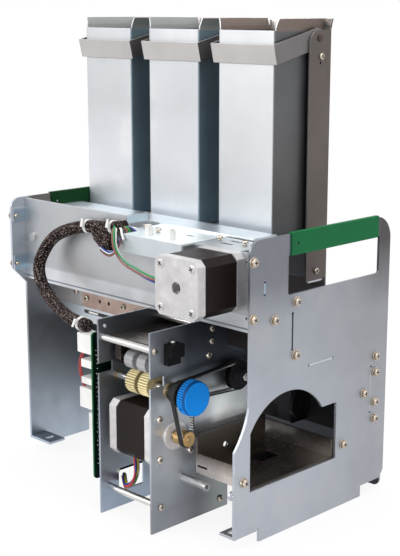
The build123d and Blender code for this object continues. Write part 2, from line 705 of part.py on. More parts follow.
pin_head = 0.8
pin_head_radius = 2.6
with BuildPart() as bail_pins:
    outer_faces = [(back_left_x - panel_sheet, 1), (back_right_x + panel_sheet, -1)]
    for mid_x in bracket_xs:
        outer_faces.append((mid_x - bracket_half + magazine_sheet, -1))
        outer_faces.append((mid_x + bracket_half - magazine_sheet, 1))
    for face_x, direction in outer_faces:
        wall = panel_sheet if face_x in (outer_faces[0][0], outer_faces[1][0]) else magazine_sheet
        reach = wall + running_gap + magazine_sheet + running_gap
        rod_x(bail_pivot_y, bail_pivot_z, face_x - direction * pin_head, face_x, pin_head_radius)
        rod_x(bail_pivot_y, bail_pivot_z, face_x, face_x + direction * (reach + pin_head), pin_radius)
        rod_x(bail_pivot_y, bail_pivot_z, face_x + direction * reach,
              face_x + direction * (reach + pin_head), pin_head_radius)
save(bail_pins, "bail_pins")

# ------------------------------------------------------------------ pick carriage and its drive
with BuildPart() as carriage_rail:
    rod_x(rail_y, rail_z, -inner_half_width, inner_half_width, rail_radius)
    for end_x, direction in ((-inner_half_width, 1), (inner_half_width, -1)):
        rod_x(rail_y, rail_z, end_x, end_x + direction * (screw_reach + 1), screw_radius + fit_gap,
              Mode.SUBTRACT)
save(carriage_rail, "carriage_rail")

with BuildPart() as rear_guide:
    block((deck_left_x, guide_front_y, guide_top_z - panel_sheet),
          (back_right_x, magazine_rear_y, guide_top_z))
    block((deck_left_x, magazine_rear_y - panel_sheet, guide_top_z - guide_web),
          (back_right_x, magazine_rear_y, guide_top_z))
    block((back_right_x - panel_sheet, back_flange_front_y + 4, guide_ear_low_z),
          (back_right_x, magazine_rear_y, guide_top_z))
    side_holes(back_flange_screws[1:], screw_radius + fit_gap, back_right_x - panel_sheet, panel_sheet)
save(rear_guide, "rear_guide")

with BuildPart() as pick_carriage:
    half = carriage_length / 2
    block((carriage_x - half, carriage_front_y, carriage_top_z - carriage_sheet),
          (carriage_x + half, carriage_rear_y, carriage_top_z))
    block((carriage_x - half, carriage_front_y, rail_z),
          (carriage_x + half, carriage_front_y + leg_thickness, carriage_top_z))
    rod_x(rail_y, rail_z, carriage_x - half, carriage_x + half, hub_radius)
    rod_x(rail_y, rail_z, carriage_x - half, carriage_x + half, rail_radius + bore_clearance,
          Mode.SUBTRACT)
    belt_top = motor_a_z + carriage_pulley_radius + running_gap
    jaw_front_y = carriage_belt_y - carriage_belt_width / 2 - 0.5
    block((carriage_x - clamp_length / 2, jaw_front_y, belt_top - 3),
          (carriage_x + clamp_length / 2, carriage_front_y, belt_top + belt_thickness + 3))
    block((carriage_x - clamp_length / 2, jaw_front_y, belt_top - running_gap),
          (carriage_x + clamp_length / 2, carriage_belt_y + carriage_belt_width / 2 + running_gap,
           belt_top + belt_thickness + running_gap), Mode.SUBTRACT)
    block((carriage_x - 15, guide_front_y + 2, guide_top_z + running_gap),
          (carriage_x + 15, carriage_rear_y, carriage_top_z))
    for y in lug_ys:
        block((carriage_x - 3, y - lug_width / 2, carriage_top_z),
              (carriage_x + 3, y + lug_width / 2, bed_z - running_gap))
save(pick_carriage, "pick_carriage")

carriage_pulley_width = carriage_lane + 2 * pulley_flange
carriage_pulley_y = carriage_belt_y - carriage_pulley_width / 2


def carriage_pulley(x, bore):
    """A flanged pulley along Y in the carriage belt's plane."""
    rod_y(x, motor_a_z, carriage_pulley_y, carriage_pulley_y + carriage_pulley_width,
          carriage_pulley_radius)
    for y in (carriage_pulley_y, carriage_pulley_y + carriage_lane + pulley_flange):
        rod_y(x, motor_a_z, y, y + pulley_flange, carriage_flange_radius)
    rod_y(x, motor_a_z, carriage_pulley_y, carriage_pulley_y + carriage_pulley_width, bore,
          Mode.SUBTRACT)


with BuildPart() as carriage_drive_pulley:
    carriage_pulley(motor_a_x, motor_shaft_radius)
save(carriage_drive_pulley, "carriage_drive_pulley")

with BuildPart() as idler_pulley:
    carriage_pulley(idler_x, idler_axle_radius + bore_clearance)
save(idler_pulley, "idler_pulley")

with BuildPart() as idler_axle:
    rear_end_y = carriage_pulley_y + carriage_pulley_width + running_gap
    rod_y(idler_x, motor_a_z, beam_y - 2.0, beam_y, 3.5)
    rod_y(idler_x, motor_a_z, beam_y, rear_end_y + 1.0, idler_axle_radius)
    rod_y(idler_x, motor_a_z, rear_end_y, rear_end_y + 1.0, 3.2)
save(idler_axle, "idler_axle")

with BuildPart() as carriage_belt:
    belt_loop(Plane.XZ.offset(-(carriage_belt_y - carriage_belt_width / 2 + carriage_belt_width)),
              (motor_a_x, motor_a_z), carriage_pulley_radius, (idler_x, motor_a_z),
              carriage_pulley_radius, carriage_belt_width)
save(carriage_belt, "carriage_belt")

# ------------------------------------------------------------------ motors
motor_seats = [
    Plane(origin=(motor_a_x, motor_a_rear_y, motor_a_z), x_dir=(1, 0, 0), z_dir=(0, 1, 0)),
    Plane(origin=(transport_right_inner_x - motor_length, motor_b_y, motor_b_z), x_dir=(0, 1, 0),
          z_dir=(1, 0, 0))]
bolt_square = [(a * motor_bolt_pitch / 2, b * motor_bolt_pitch / 2) for a in (-1, 1) for b in (-1, 1)]
motor_recess_radius = 4.25
motor_recess_depth = 3.0

with BuildPart() as motor_end_caps:
    for seat in motor_seats:
        for start, length in ((0, motor_rear_cap), (motor_length - motor_front_cap, motor_front_cap)):
            with BuildSketch(seat.offset(start)):
                Rectangle(motor_size, motor_size)
                chamfer(vertices(), motor_corner)
            extrude(amount=length)
        with BuildSketch(seat.offset(motor_length)):
            Circle(motor_boss_radius)
        extrude(amount=motor_boss_height)
        with BuildSketch(seat):
            Circle(motor_shaft_radius + bore_clearance)
        extrude(amount=motor_length + motor_boss_height, mode=Mode.SUBTRACT)
        for start, length in ((0, motor_recess_depth), (motor_length + motor_boss_height - 1.5, 1.5)):
            with BuildSketch(seat.offset(start)):
                Circle(motor_recess_radius)
            extrude(amount=length, mode=Mode.SUBTRACT)
        with BuildSketch(seat):
            with Locations(*bolt_square):
                Circle(screw_radius + fit_gap)
        extrude(amount=motor_rear_cap, mode=Mode.SUBTRACT)
        with BuildSketch(seat.offset(motor_length - motor_front_cap)):
            with Locations(*bolt_square):
                Circle(screw_radius + fit_gap)
        extrude(amount=motor_front_cap, mode=Mode.SUBTRACT)
save(motor_end_caps, "motor_end_caps")

with BuildPart() as motor_laminations:
    for seat in motor_seats:
        with BuildSketch(seat.offset(motor_rear_cap)):
            Rectangle(motor_size - 0.6, motor_size - 0.6)
            chamfer(vertices(), motor_corner + 0.9)
            Circle(motor_shaft_radius + bore_clearance, mode=Mode.SUBTRACT)
        extrude(amount=motor_length - motor_rear_cap - motor_front_cap)
save(motor_laminations, "motor_laminations")

with BuildPart() as motor_a_shaft:
    rod_y(motor_a_x, motor_a_z, motor_a_rear_y + 1.0,
          carriage_pulley_y + carriage_pulley_width + 1.0, motor_shaft_radius)
save(motor_a_shaft, "motor_a_shaft")

bracket_reach = 25.4
bracket_low_z = 166.0
bracket_rear_y = -16.0
bracket_left_x = motor_a_x - 29.2
bracket_screws = [(motor_a_x - 24.8, -27.5), (motor_a_x + 2.1, -29.0)]
bracket_slot_x = motor_a_x - 11.4
with BuildPart() as motor_bracket:
    block((motor_a_x - bracket_reach, bracket_y, bracket_low_z),
          (motor_a_x + bracket_reach - 2, beam_y, beam_side_z + panel_sheet))
    block((bracket_left_x, bracket_y, beam_side_z),
          (motor_a_x + 14.6, bracket_rear_y, beam_side_z + panel_sheet))
    with BuildSketch(Plane.XZ.offset(-bracket_y)):
        with Locations((motor_a_x, motor_a_z)):
            Circle(motor_boss_radius + fit_gap)
    extrude(amount=-panel_sheet, mode=Mode.SUBTRACT)
    with BuildSketch(Plane.XY.offset(beam_side_z)):
        with Locations(*bracket_screws):
            Circle(screw_radius + fit_gap)
        with Locations((bracket_slot_x, -24.0), (bracket_slot_x, -34.0)):
            SlotOverall(12.0, 4.0)
    extrude(amount=panel_sheet, mode=Mode.SUBTRACT)
save(motor_bracket, "motor_bracket")

# ------------------------------------------------------------------ sensor cover
cover_left_x = 4.4
cover_right_x = bracket_left_x - 2.4
cover_front_y = -60.6
cover_rear_y = -6.0
cover_low_z = 197.0
cover_ear_x = -5.3
cover_ear_y = -44.0
post_xs = (22.8, 47.4)
post_y = -50.6
post_radius = 3.0
cover_screws = [(0.4, -32.8), (19.8, -38.6)]
cover_slots = [(22.0, -26.0), (47.0, -30.9)]
with BuildPart() as sensor_cover:
    block((cover_left_x, cover_front_y, beam_side_z), (cover_right_x, cover_rear_y, deck_low_z))
    block((cover_ear_x, cover_ear_y, beam_side_z), (cover_left_x, cover_rear_y, deck_low_z))
    block((cover_left_x, cover_front_y, cover_low_z), (cover_right_x, cover_front_y + panel_sheet,
          deck_low_z))
    with BuildSketch(Plane.XY.offset(beam_side_z)):
        with Locations(*cover_screws):
            Circle(screw_radius + fit_gap)
        with Locations(*cover_slots):
            SlotOverall(8.0, 3.4)
    extrude(amount=panel_sheet, mode=Mode.SUBTRACT)
save(sensor_cover, "sensor_cover")

with BuildPart() as nylon_posts:
    for x in post_xs:
        rod_z(x, post_y, deck_low_z, deck_low_z + 6.5, post_radius)
        rod_z(x, post_y, deck_low_z + 6.5, deck_low_z + 8.0, post_radius - 1.0)
save(nylon_posts, "nylon_posts")

# ------------------------------------------------------------------ transport
tie_bar_places = [(-93.2, 139.0), (-88.2, 19.0), (-25.8, 7.7), (-38.4, 125.2), (-34.8, 145.2)]
guide_screw = (-35.1, 135.6)
tie_bar_radius = 2.6
standoff_place = (-65.2, 35.5)
standoff_length = 25.2
standoff_radius = 3.25
standoff_bore = 4.0
motor_b_bolts = [(motor_b_y + a, motor_b_z + b) for a, b in bolt_square]
transport_screws = tie_bar_places + motor_b_bolts
shaft_places = [(drive_axis_y, drive_axis_z, shaft_radius), (rear_axis_y, drive_axis_z, shaft_radius)]
bush_wall = 1.5
exit_notch_y = -84.2
exit_low_z = 111.4
exit_high_z = 119.0
panel_stop_z = mid_panel_low_z - 0.4
board_posts = [(-80.0, 29.0), (-40.0, 29.0), (-70.0, 96.0), (-52.0, 134.0)]


def transport_holes(near_x):
    """Cut the holes both transport plates share."""
    side_holes(tie_bar_places, screw_radius + fit_gap, near_x, panel_sheet)
    for y, z, radius in shaft_places:
        side_holes([(y, z)], radius + bush_wall, near_x, panel_sheet)
    block((near_x, front_y, exit_low_z), (near_x + panel_sheet, exit_notch_y, exit_high_z),
          Mode.SUBTRACT)


with BuildPart() as transport_right_plate:
    with BuildSketch(Plane.YZ.offset(transport_right_inner_x)):
        with BuildLine():
            Polyline((front_y, 0), (transport_low_rear_y, 0), (transport_low_rear_y, tray_notch_low_z),
                     (tray_notch_y, tray_notch_low_z), (tray_notch_y, tray_notch_high_z),
                     (transport_rear_y, tray_notch_high_z), (transport_rear_y, panel_stop_z),
                     (mid_panel_y - fit_gap, panel_stop_z), (mid_panel_y - fit_gap, beam_low_z),
                     (front_y, beam_low_z), close=True)
        make_face()
    extrude(amount=panel_sheet)
    transport_holes(transport_right_inner_x)
    side_holes([(motor_b_y, motor_b_z)], motor_boss_radius + fit_gap, transport_right_inner_x,
               panel_sheet)
    side_holes(motor_b_bolts + [guide_screw, standoff_place], screw_radius + fit_gap,
               transport_right_inner_x, panel_sheet)
save(transport_right_plate, "transport_right_plate")

with BuildPart() as transport_left_plate:
    with BuildSketch(Plane.YZ.offset(transport_left_outer_x)):
        with BuildLine():
            Polyline((front_y, 0), (transport_low_rear_y, 0), (transport_low_rear_y, tray_notch_high_z),
                     (transport_rear_y, tray_notch_high_z), (transport_rear_y, panel_stop_z),
                     (mid_panel_y - fit_gap, panel_stop_z), (mid_panel_y - fit_gap, beam_low_z),
                     (front_y, beam_low_z), close=True)
        make_face()
    extrude(amount=panel_sheet)
    transport_holes(transport_left_outer_x)
    block((transport_left_outer_x, -79.4, 12.4), (transport_left_x, -53.8, 31.1), Mode.SUBTRACT)
    side_holes(board_posts + [(-91.2, 147.0), guide_screw], screw_radius + fit_gap, transport_left_outer_x,
               panel_sheet)
save(transport_left_plate, "transport_left_plate")

with BuildPart() as transport_spacers:
    for y, z in tie_bar_places:
        rod_x(y, z, transport_left_x, transport_right_inner_x, tie_bar_radius)
        rod_x(y, z, transport_left_x, transport_left_x + screw_reach, screw_radius + fit_gap,
              Mode.SUBTRACT)
        rod_x(y, z, transport_right_inner_x, transport_right_inner_x - screw_reach,
              screw_radius + fit_gap, Mode.SUBTRACT)
    rod_x(*standoff_place, transport_right_x, transport_right_x + standoff_length, standoff_radius)
    rod_x(*standoff_place, transport_right_x + standoff_length - standoff_bore,
          transport_right_x + standoff_length, screw_radius, Mode.SUBTRACT)
    for y, z in board_posts:
        rod_x(y, z, board_x + board_thickness, transport_left_outer_x, 2.8)
save(transport_spacers, "transport_spacers")

with BuildPart() as shaft_bushes:
    for y, z, radius in shaft_places:
        for near_x, flange_x in ((transport_left_outer_x, transport_left_outer_x - 1.2),
                                 (transport_right_inner_x, transport_right_x)):
            rod_x(y, z, near_x, near_x + panel_sheet, radius + bush_wall)
            rod_x(y, z, flange_x, flange_x + 1.2, radius + bush_wall + 1.5)
            rod_x(y, z, near_x - 2, near_x + panel_sheet + 2, radius + bore_clearance, Mode.SUBTRACT)
save(shaft_bushes, "shaft_bushes")

# Upper card guide, with the two hangers that carry the pinch shaft
hanger_half = 5.5
hanger_xs = (transport_left_x + hanger_inset, transport_right_inner_x - hanger_inset - hanger_width)
with BuildPart() as card_guide:
    block((transport_left_x, guide_front, guide_z - panel_sheet),
          (transport_right_inner_x, guide_rear, guide_z))
    for near_x in (transport_left_x, transport_right_inner_x - panel_sheet):
        block((near_x, guide_screw[0] - 6, guide_z - guide_flange),
              (near_x + panel_sheet, guide_rear, guide_z))
        side_holes([guide_screw], screw_radius + fit_gap, near_x, panel_sheet)
    for near_x in hanger_xs:
        block((near_x, drive_axis_y - hanger_half, pinch_axis_z),
              (near_x + hanger_width, drive_axis_y + hanger_half, guide_z - panel_sheet))
        rod_x(drive_axis_y, pinch_axis_z, near_x, near_x + hanger_width, hanger_half)
        rod_x(drive_axis_y, pinch_axis_z, near_x, near_x + hanger_width,
              pinch_shaft_radius + bore_clearance, Mode.SUBTRACT)
save(card_guide, "card_guide")

knob_end_x = knob_start_x + knob_length
with BuildPart() as drive_shaft:
    rod_x(drive_axis_y, drive_axis_z, transport_left_outer_x - 2.5, knob_end_x - 2.0, shaft_radius)
save(drive_shaft, "drive_shaft")

with BuildPart() as feed_rollers:
    for sign in (-1, 1):
        near = feed_mid_x + sign * feed_roller_gap / 2
        far = near + sign * feed_roller_width
        rod_x(drive_axis_y, drive_axis_z, near, far, feed_roller_radius)
    rod_x(drive_axis_y, drive_axis_z, transport_left_x, transport_right_inner_x, shaft_radius,
          Mode.SUBTRACT)
save(feed_rollers, "feed_rollers")

with BuildPart() as pinch_shaft:
    rod_x(drive_axis_y, pinch_axis_z, hanger_xs[0] - 1.5, hanger_xs[1] + hanger_width + 1.5,
          pinch_shaft_radius)
save(pinch_shaft, "pinch_shaft")

with BuildPart() as pinch_rollers:
    for sign in (-1, 1):
        near = pinch_mid_x + sign * pinch_roller_gap / 2
        far = near + sign * pinch_roller_width
        rod_x(drive_axis_y, pinch_axis_z, near, far, pinch_radius)
    rod_x(drive_axis_y, pinch_axis_z, transport_left_x, transport_right_inner_x, pinch_shaft_radius,
          Mode.SUBTRACT)
save(pinch_rollers, "pinch_rollers")

outer_lane_start_x = pulley_start_x + transport_lane + pulley_flange
pulley_lip = 1.4
hub_outer_radius = 6.0
with BuildPart() as double_pulley:
    grooved_pulley_x(drive_axis_y, drive_axis_z, pulley_start_x, 1, transport_lane,
                     feed_drive_radius, feed_drive_radius + pulley_lip)
    grooved_pulley_x(drive_axis_y, drive_axis_z, outer_lane_start_x, 1, transport_lane,
                     transport_pulley_radius, transport_pulley_radius + pulley_lip)
    rod_x(drive_axis_y, drive_axis_z, outer_lane_start_x, knob_start_x, hub_outer_radius)
    rod_x(drive_axis_y, drive_axis_z, pulley_start_x, knob_start_x, shaft_radius, Mode.SUBTRACT)
save(double_pulley, "double_pulley")

with BuildPart() as hand_knob:
    with BuildSketch(Plane.YZ.offset(knob_start_x)):
        with Locations((drive_axis_y, drive_axis_z)):
            Circle(knob_radius)
            with PolarLocations(knob_radius, knob_ribs):
                Circle(knob_rib_radius, mode=Mode.SUBTRACT)
    extrude(amount=knob_grip_length)
    rod_x(drive_axis_y, drive_axis_z, knob_start_x + knob_grip_length, knob_end_x, knob_radius - knob_rim)
    fillet(hand_knob.edges().group_by(Axis.X)[-1], 1.0)
    rod_x(drive_axis_y, drive_axis_z, knob_start_x, knob_end_x - 2.0, shaft_radius, Mode.SUBTRACT)
    with Locations(Location((knob_start_x + knob_grip_length / 2 + 0.4, drive_axis_y, drive_axis_z),
                            (90 + knob_screw_angle, 0, 0))):
        with Locations((0, 0, knob_radius)):
            Cylinder(knob_screw_radius, 2 * (knob_radius - shaft_radius - 2.0), mode=Mode.SUBTRACT)
save(hand_knob, "hand_knob")

rear_hub_end_x = pulley_start_x + 11.5
with BuildPart() as rear_shaft:
    rod_x(rear_axis_y, drive_axis_z, transport_left_outer_x - 2.5, rear_hub_end_x + 0.5, shaft_radius)
    for sign in (-1, 1):
        near = feed_mid_x + sign * feed_roller_gap / 2
        rod_x(rear_axis_y, drive_axis_z, near, near + sign * feed_roller_width, feed_roller_radius)
save(rear_shaft, "rear_shaft")

with BuildPart() as rear_pulley:
    grooved_pulley_x(rear_axis_y, drive_axis_z, pulley_start_x, 1, transport_lane,
                     rear_pulley_radius, rear_pulley_radius + pulley_lip)
    rod_x(rear_axis_y, drive_axis_z, outer_lane_start_x, rear_hub_end_x, hub_outer_radius)
    rod_x(rear_axis_y, drive_axis_z, pulley_start_x, rear_hub_end_x, shaft_radius, Mode.SUBTRACT)
save(rear_pulley, "rear_pulley")

brass_start_x = outer_lane_start_x
brass_flange_radius = 5.7
with BuildPart() as motor_b_shaft:
    rod_x(motor_b_y, motor_b_z, transport_right_inner_x - motor_length + 1.0,
          brass_start_x + transport_lane + 2 * pulley_flange + 0.8, motor_shaft_radius)
save(motor_b_shaft, "motor_b_shaft")

with BuildPart() as motor_pulley:
    grooved_pulley_x(motor_b_y, motor_b_z, brass_start_x, 1, transport_lane, motor_pulley_radius,
                     brass_flange_radius)
    rod_x(motor_b_y, motor_b_z, brass_start_x - 6.0, brass_start_x, brass_flange_radius)
    rod_x(motor_b_y, motor_b_z, brass_start_x - 6.0, brass_start_x + transport_lane + 2 * pulley_flange,
          motor_shaft_radius, Mode.SUBTRACT)
save(motor_pulley, "motor_pulley")

lane_play = (transport_lane - transport_belt_width) / 2
inner_lane_x = pulley_start_x + pulley_flange + lane_play
outer_lane_x = inner_lane_x + transport_lane + pulley_flange
with BuildPart() as motor_belt:
    belt_loop(Plane.YZ.offset(outer_lane_x), (drive_axis_y, drive_axis_z), transport_pulley_radius,
              (motor_b_y, motor_b_z), motor_pulley_radius, transport_belt_width)
save(motor_belt, "motor_belt")

with BuildPart() as feed_belt:
    belt_loop(Plane.YZ.offset(inner_lane_x), (drive_axis_y, drive_axis_z), feed_drive_radius,
              (rear_axis_y, drive_axis_z), rear_pulley_radius, transport_belt_width)
save(feed_belt, "feed_belt")

sensor_front_y = -84.0
sensor_rear_y = -71.0
sensor_low_z = 126.6
sensor_high_z = 142.6
sensor_depth = 8.2
sensor_end_x = transport_right_x + sensor_depth
plate_to_window = 30.0        # right plate to the window in the tray's floor
window_width = 15.0
tray_sensor_height = 7.0
tray_window = ((inner_half_width - plate_to_window - window_width, -12.0),
               (inner_half_width - plate_to_window, 10.0))
with BuildPart() as sensor_block:
    block((transport_right_x, sensor_front_y, sensor_low_z), (sensor_end_x, sensor_rear_y, sensor_high_z))
    block((sensor_end_x - 4, sensor_front_y, sensor_low_z), (sensor_end_x, sensor_rear_y, sensor_low_z + 6),
          Mode.SUBTRACT)
    fillet(sensor_block.edges().filter_by(Axis.X), 1.0)
    # The second sensor hangs under the window in the tray's floor
    block((tray_window[0][0] - 2.5, tray_window[0][1] - 2.5, tray_floor_z - tray_sensor_height),
          (tray_window[1][0] + 2.5, tray_window[1][1] + 2.5, tray_floor_z))
    block((tray_window[0][0] + 1.5, tray_window[0][1] + 1.5, tray_floor_z - 4.5),
          (tray_window[1][0] - 1.5, tray_window[1][1] - 1.5, tray_floor_z), Mode.SUBTRACT)
save(sensor_block, "sensor_block")

# ------------------------------------------------------------------ control board
with BuildPart() as control_board:
    with BuildSketch(Plane.YZ.offset(board_x)):
        with Locations(((board_front_y + board_rear_y) / 2, (board_low_z + board_high_z) / 2)):
            RectangleRounded(board_rear_y - board_front_y, board_high_z - board_low_z, 3.0)
        with Locations(*board_posts):
            Circle(screw_radius + fit_gap, mode=Mode.SUBTRACT)
    extrude(amount=board_thickness)
save(control_board, "control_board")

# Connectors on the board: (how far out, front, rear, low, high)
connector_boxes = [(-9.3, -95.9, -84.0, 123.0, 138.0), (-5.3, -95.9, -85.0, 99.0, 104.0),
                   (-5.3, -95.9, -85.0, 112.0, 118.0), (-7.6, -95.9, -84.0, 79.6, 95.5),
                   (0.3, -94.0, -84.0, 61.0, 76.0)]
with BuildPart() as board_connectors:
    for out_x, y0, y1, z0, z1 in connector_boxes:
        block((out_x, y0, z0), (board_x, y1, z1))
    for out_x, y0, y1, z0, z1 in connector_boxes[:1] + connector_boxes[3:4]:
        block((out_x, y0 + 1.2, z0 + 1.2), (out_x + 6.0, y1 - 1.2, z1 - 1.2), Mode.SUBTRACT)
save(board_connectors, "board_connectors")

# ------------------------------------------------------------------ tray
with BuildPart() as tray:
    block((tray_left_x, tray_front_y, tray_floor_z), (inner_half_width, tray_rear_y,
          tray_floor_z + panel_sheet))
    block((tray_wide_x, tray_wide_y, tray_floor_z), (tray_left_x, tray_rear_y,
          tray_floor_z + panel_sheet))
    block((tray_left_x, tray_front_y, tray_floor_z), (inner_half_width, tray_front_y + panel_sheet,
          tray_flange_z))
    block((tray_wide_x, tray_rear_y - panel_sheet, tray_floor_z), (inner_half_width, tray_rear_y,
          tray_flange_z))
    block((tray_left_x, tray_front_y, tray_floor_z), (tray_left_x + panel_sheet, tray_wide_y,
          tray_wall_z))
    for y0, y1 in ((tray_front_y - 11.5, tray_front_y), (tray_rear_y, tray_rear_y + 16)):
        block((inner_half_width - panel_sheet, y0, tray_floor_z), (inner_half_width, y1, tray_flange_z))
    side_holes(tray_screws, screw_radius + fit_gap, inner_half_width - panel_sheet, panel_sheet)
    side_holes([(-31.0, 56.0)], 2.2, tray_left_x, panel_sheet)
    block(tray_window[0] + (tray_floor_z,), tray_window[1] + (tray_floor_z + panel_sheet,), Mode.SUBTRACT)
    block((tray_left_x + panel_sheet, tray_front_y, 46.0), (tray_left_x + 11.5,
          tray_front_y + panel_sheet, 47.6), Mode.SUBTRACT)
save(tray, "tray")

# Geared drive behind the tray, screwed to the rear panel's web
unit_x = (52.0, 86.0)
unit_y = (42.0, web_y)
unit_z = (54.0, 88.0)
unit_cap = (50.0, 70.0)      # centre (Y, Z) of the round cap that faces the right plate
unit_cap_radius = 11.0
unit_cap_height = 4.0
unit_case_gap = 9.0           # flat case behind the gearbox to the right side plate
unit_case_x = (36.0, inner_half_width - unit_case_gap)
unit_case_z = (52.0, 118.0)
unit_case_depth = 15.0
with BuildPart() as gear_unit:
    block((unit_x[0], unit_y[0], unit_z[0]), (unit_x[1], unit_y[1], unit_z[1]))
    fillet(gear_unit.edges().filter_by(Axis.X), 3.0)
    block((unit_case_x[0], web_y - unit_case_depth, unit_case_z[0]), (unit_case_x[1], web_y, unit_case_z[1]))
    rod_x(*unit_cap, unit_x[1], unit_x[1] + unit_cap_height, unit_cap_radius)
    rod_x(*unit_cap, unit_x[1] + unit_cap_height, unit_x[1] + unit_cap_height + 1, 3.0)
    for x, z in unit_screws:
        rod_y(x, z, web_y - screw_reach, web_y, screw_radius + fit_gap, Mode.SUBTRACT)
save(gear_unit, "gear_unit")


# ------------------------------------------------------------------ cables
def bend_radii(points, share=0.45):
    """The largest round bends that leave part of each straight run free."""
    spots = [Vector(*point) for point in points]
    radii = []
    for before, here, after in zip(spots, spots[1:], spots[2:]):
        turn = radians((here - before).get_angle(after - here))
        shorter = min((here - before).length, (after - here).length)
        radii.append(share * shorter / tan(turn / 2))
    return radii


def cable(points, radius):
    """A round cable along rounded corners, in the part that is being built."""
    radii = bend_radii(points)
    print("bend radii", [round(value, 1) for value in radii])
    with BuildLine() as route:
        FilletPolyline(*points, radius=radii)
    with BuildSketch(Plane(origin=route.line @ 0, z_dir=route.line % 0)) as section:
        Circle(radius)
    sweep(section.sketch, path=route.wires()[0])


loom_route = [(-1.6, -53.2, 214.5), (-20.0, -54.5, 211.3), (-45.8, -55.2, 210.2), (-69.8, -57.2, 203.7),
              (-84.4, -59.2, 195.5), (-92.4, -62.2, 183.3), (-95.5, -65.2, 172.2), (-89.5, -68.2, 161.2),
              (-73.6, -73.2, 151.9), (-57.1, -78.2, 147.0), (-37.2, -84.2, 144.2), (-17.7, -89.2, 143.3),
              (-3.0, -90.4, 143.1)]
with BuildPart() as loom:
    cable(loom_route, loom_radius)
save(loom, "loom")

motor_a_leads_route = [(motor_a_x - motor_size / 2, -68.0, 184.0), (motor_a_x - 31.4, -68.0, 184.0),
                       (motor_a_x - 44.4, -68.0, 182.8), (motor_a_x - 58.4, -68.0, 183.4),
                       (motor_a_x - 71.4, -68.0, 187.0),
                       (14.0, -68.0, 190.5), (3.6, -67.8, 199.0), (-0.5, -66.0, 208.0),
                       (-4.5, -61.5, 213.5)]
motor_b_leads_route = [(45.0, -86.0, motor_b_z - motor_size / 2), (45.0, -86.0, 45.0),
                       (49.0, -89.0, 38.5), (46.0, -90.5, 30.0), (36.0, -88.0, 24.5),
                       (24.0, -80.0, 22.5), (12.5, -70.0, 21.8)]
with BuildPart() as motor_leads:
    for points in (motor_a_leads_route, motor_b_leads_route):
        cable(points, lead_radius)
save(motor_leads, "motor_leads")

# ------------------------------------------------------------------ screws
def side_screw(y, z, face_x, direction, radius=screw_head_radius):
    """A washer, a pan head and a shank on the outside of a side plate."""
    outer = face_x + direction * washer_thickness
    rod_x(y, z, face_x, outer, washer_radius)
    rod_x(y, z, outer, outer + direction * screw_head_height, radius)
    rod_x(y, z, face_x, face_x - direction * screw_reach, screw_radius)


with BuildPart() as frame_screws:
    for y, z in side_screws + tray_screws:
        side_screw(y, z, outer_half_width, 1)
    for y, z in side_screws:
        side_screw(y, z, -outer_half_width, -1)
save(frame_screws, "frame_screws")

small_head_radius = 2.75
small_head_height = 1.7
motor_head_height = 1.0
back_screw_reach = 4.0
deck_screw_height = 3.4
with BuildPart() as small_screws:
    for y, z in transport_screws + [guide_screw]:
        reach = 2 * panel_sheet if (y, z) == guide_screw else screw_reach - 1
        rod_x(y, z, transport_right_x, transport_right_x + small_head_height, small_head_radius)
        rod_x(y, z, transport_right_x, transport_right_x - reach, screw_radius)
    for y, z in tie_bar_places + [guide_screw]:
        reach = 2 * panel_sheet if (y, z) == guide_screw else screw_reach - 1
        rod_x(y, z, transport_left_outer_x, transport_left_outer_x - small_head_height, small_head_radius)
        rod_x(y, z, transport_left_outer_x, transport_left_outer_x + reach, screw_radius)
    for x, z in bolt_square:
        rod_y(motor_a_x + x, motor_a_z + z, motor_a_rear_y - motor_head_height, motor_a_rear_y,
              small_head_radius)
        rod_y(motor_a_x + x, motor_a_z + z, motor_a_rear_y, motor_a_rear_y + screw_reach, screw_radius)
    for x, z in panel_screws:
        rod_y(x, z, mid_panel_y - small_head_height, mid_panel_y, small_head_radius)
        rod_y(x, z, mid_panel_y, mid_panel_y + 3, screw_radius)
    for x in magazine_xs:
        rod_y(x, back_screw_z, magazine_rear_y - small_head_height, magazine_rear_y, small_head_radius)
        rod_y(x, back_screw_z, magazine_rear_y, magazine_rear_y + back_screw_reach, screw_radius)
    for x, y in cover_screws + bracket_screws:
        rod_z(x, y, deck_low_z, deck_low_z + deck_screw_height, small_head_radius)
        rod_z(x, y, beam_side_z, deck_low_z, screw_radius)
    for x, z in unit_screws:
        rod_y(x, z, web_y + panel_sheet, web_y + panel_sheet + small_head_height, small_head_radius)
        rod_y(x, z, web_y - screw_reach + 1, web_y + panel_sheet, screw_radius)
    for (y, z), sheets in zip(back_flange_screws, (1, 2)):
        face_x = back_right_x + panel_sheet
        rod_x(y, z, face_x, face_x + small_head_height, small_head_radius)
        rod_x(y, z, face_x, face_x - sheets * panel_sheet, screw_radius)
    for y, z in board_posts:
        rod_x(y, z, board_x, board_x - small_head_height, small_head_radius)
        rod_x(y, z, board_x, board_x + board_thickness, screw_radius)
save(small_screws, "small_screws")
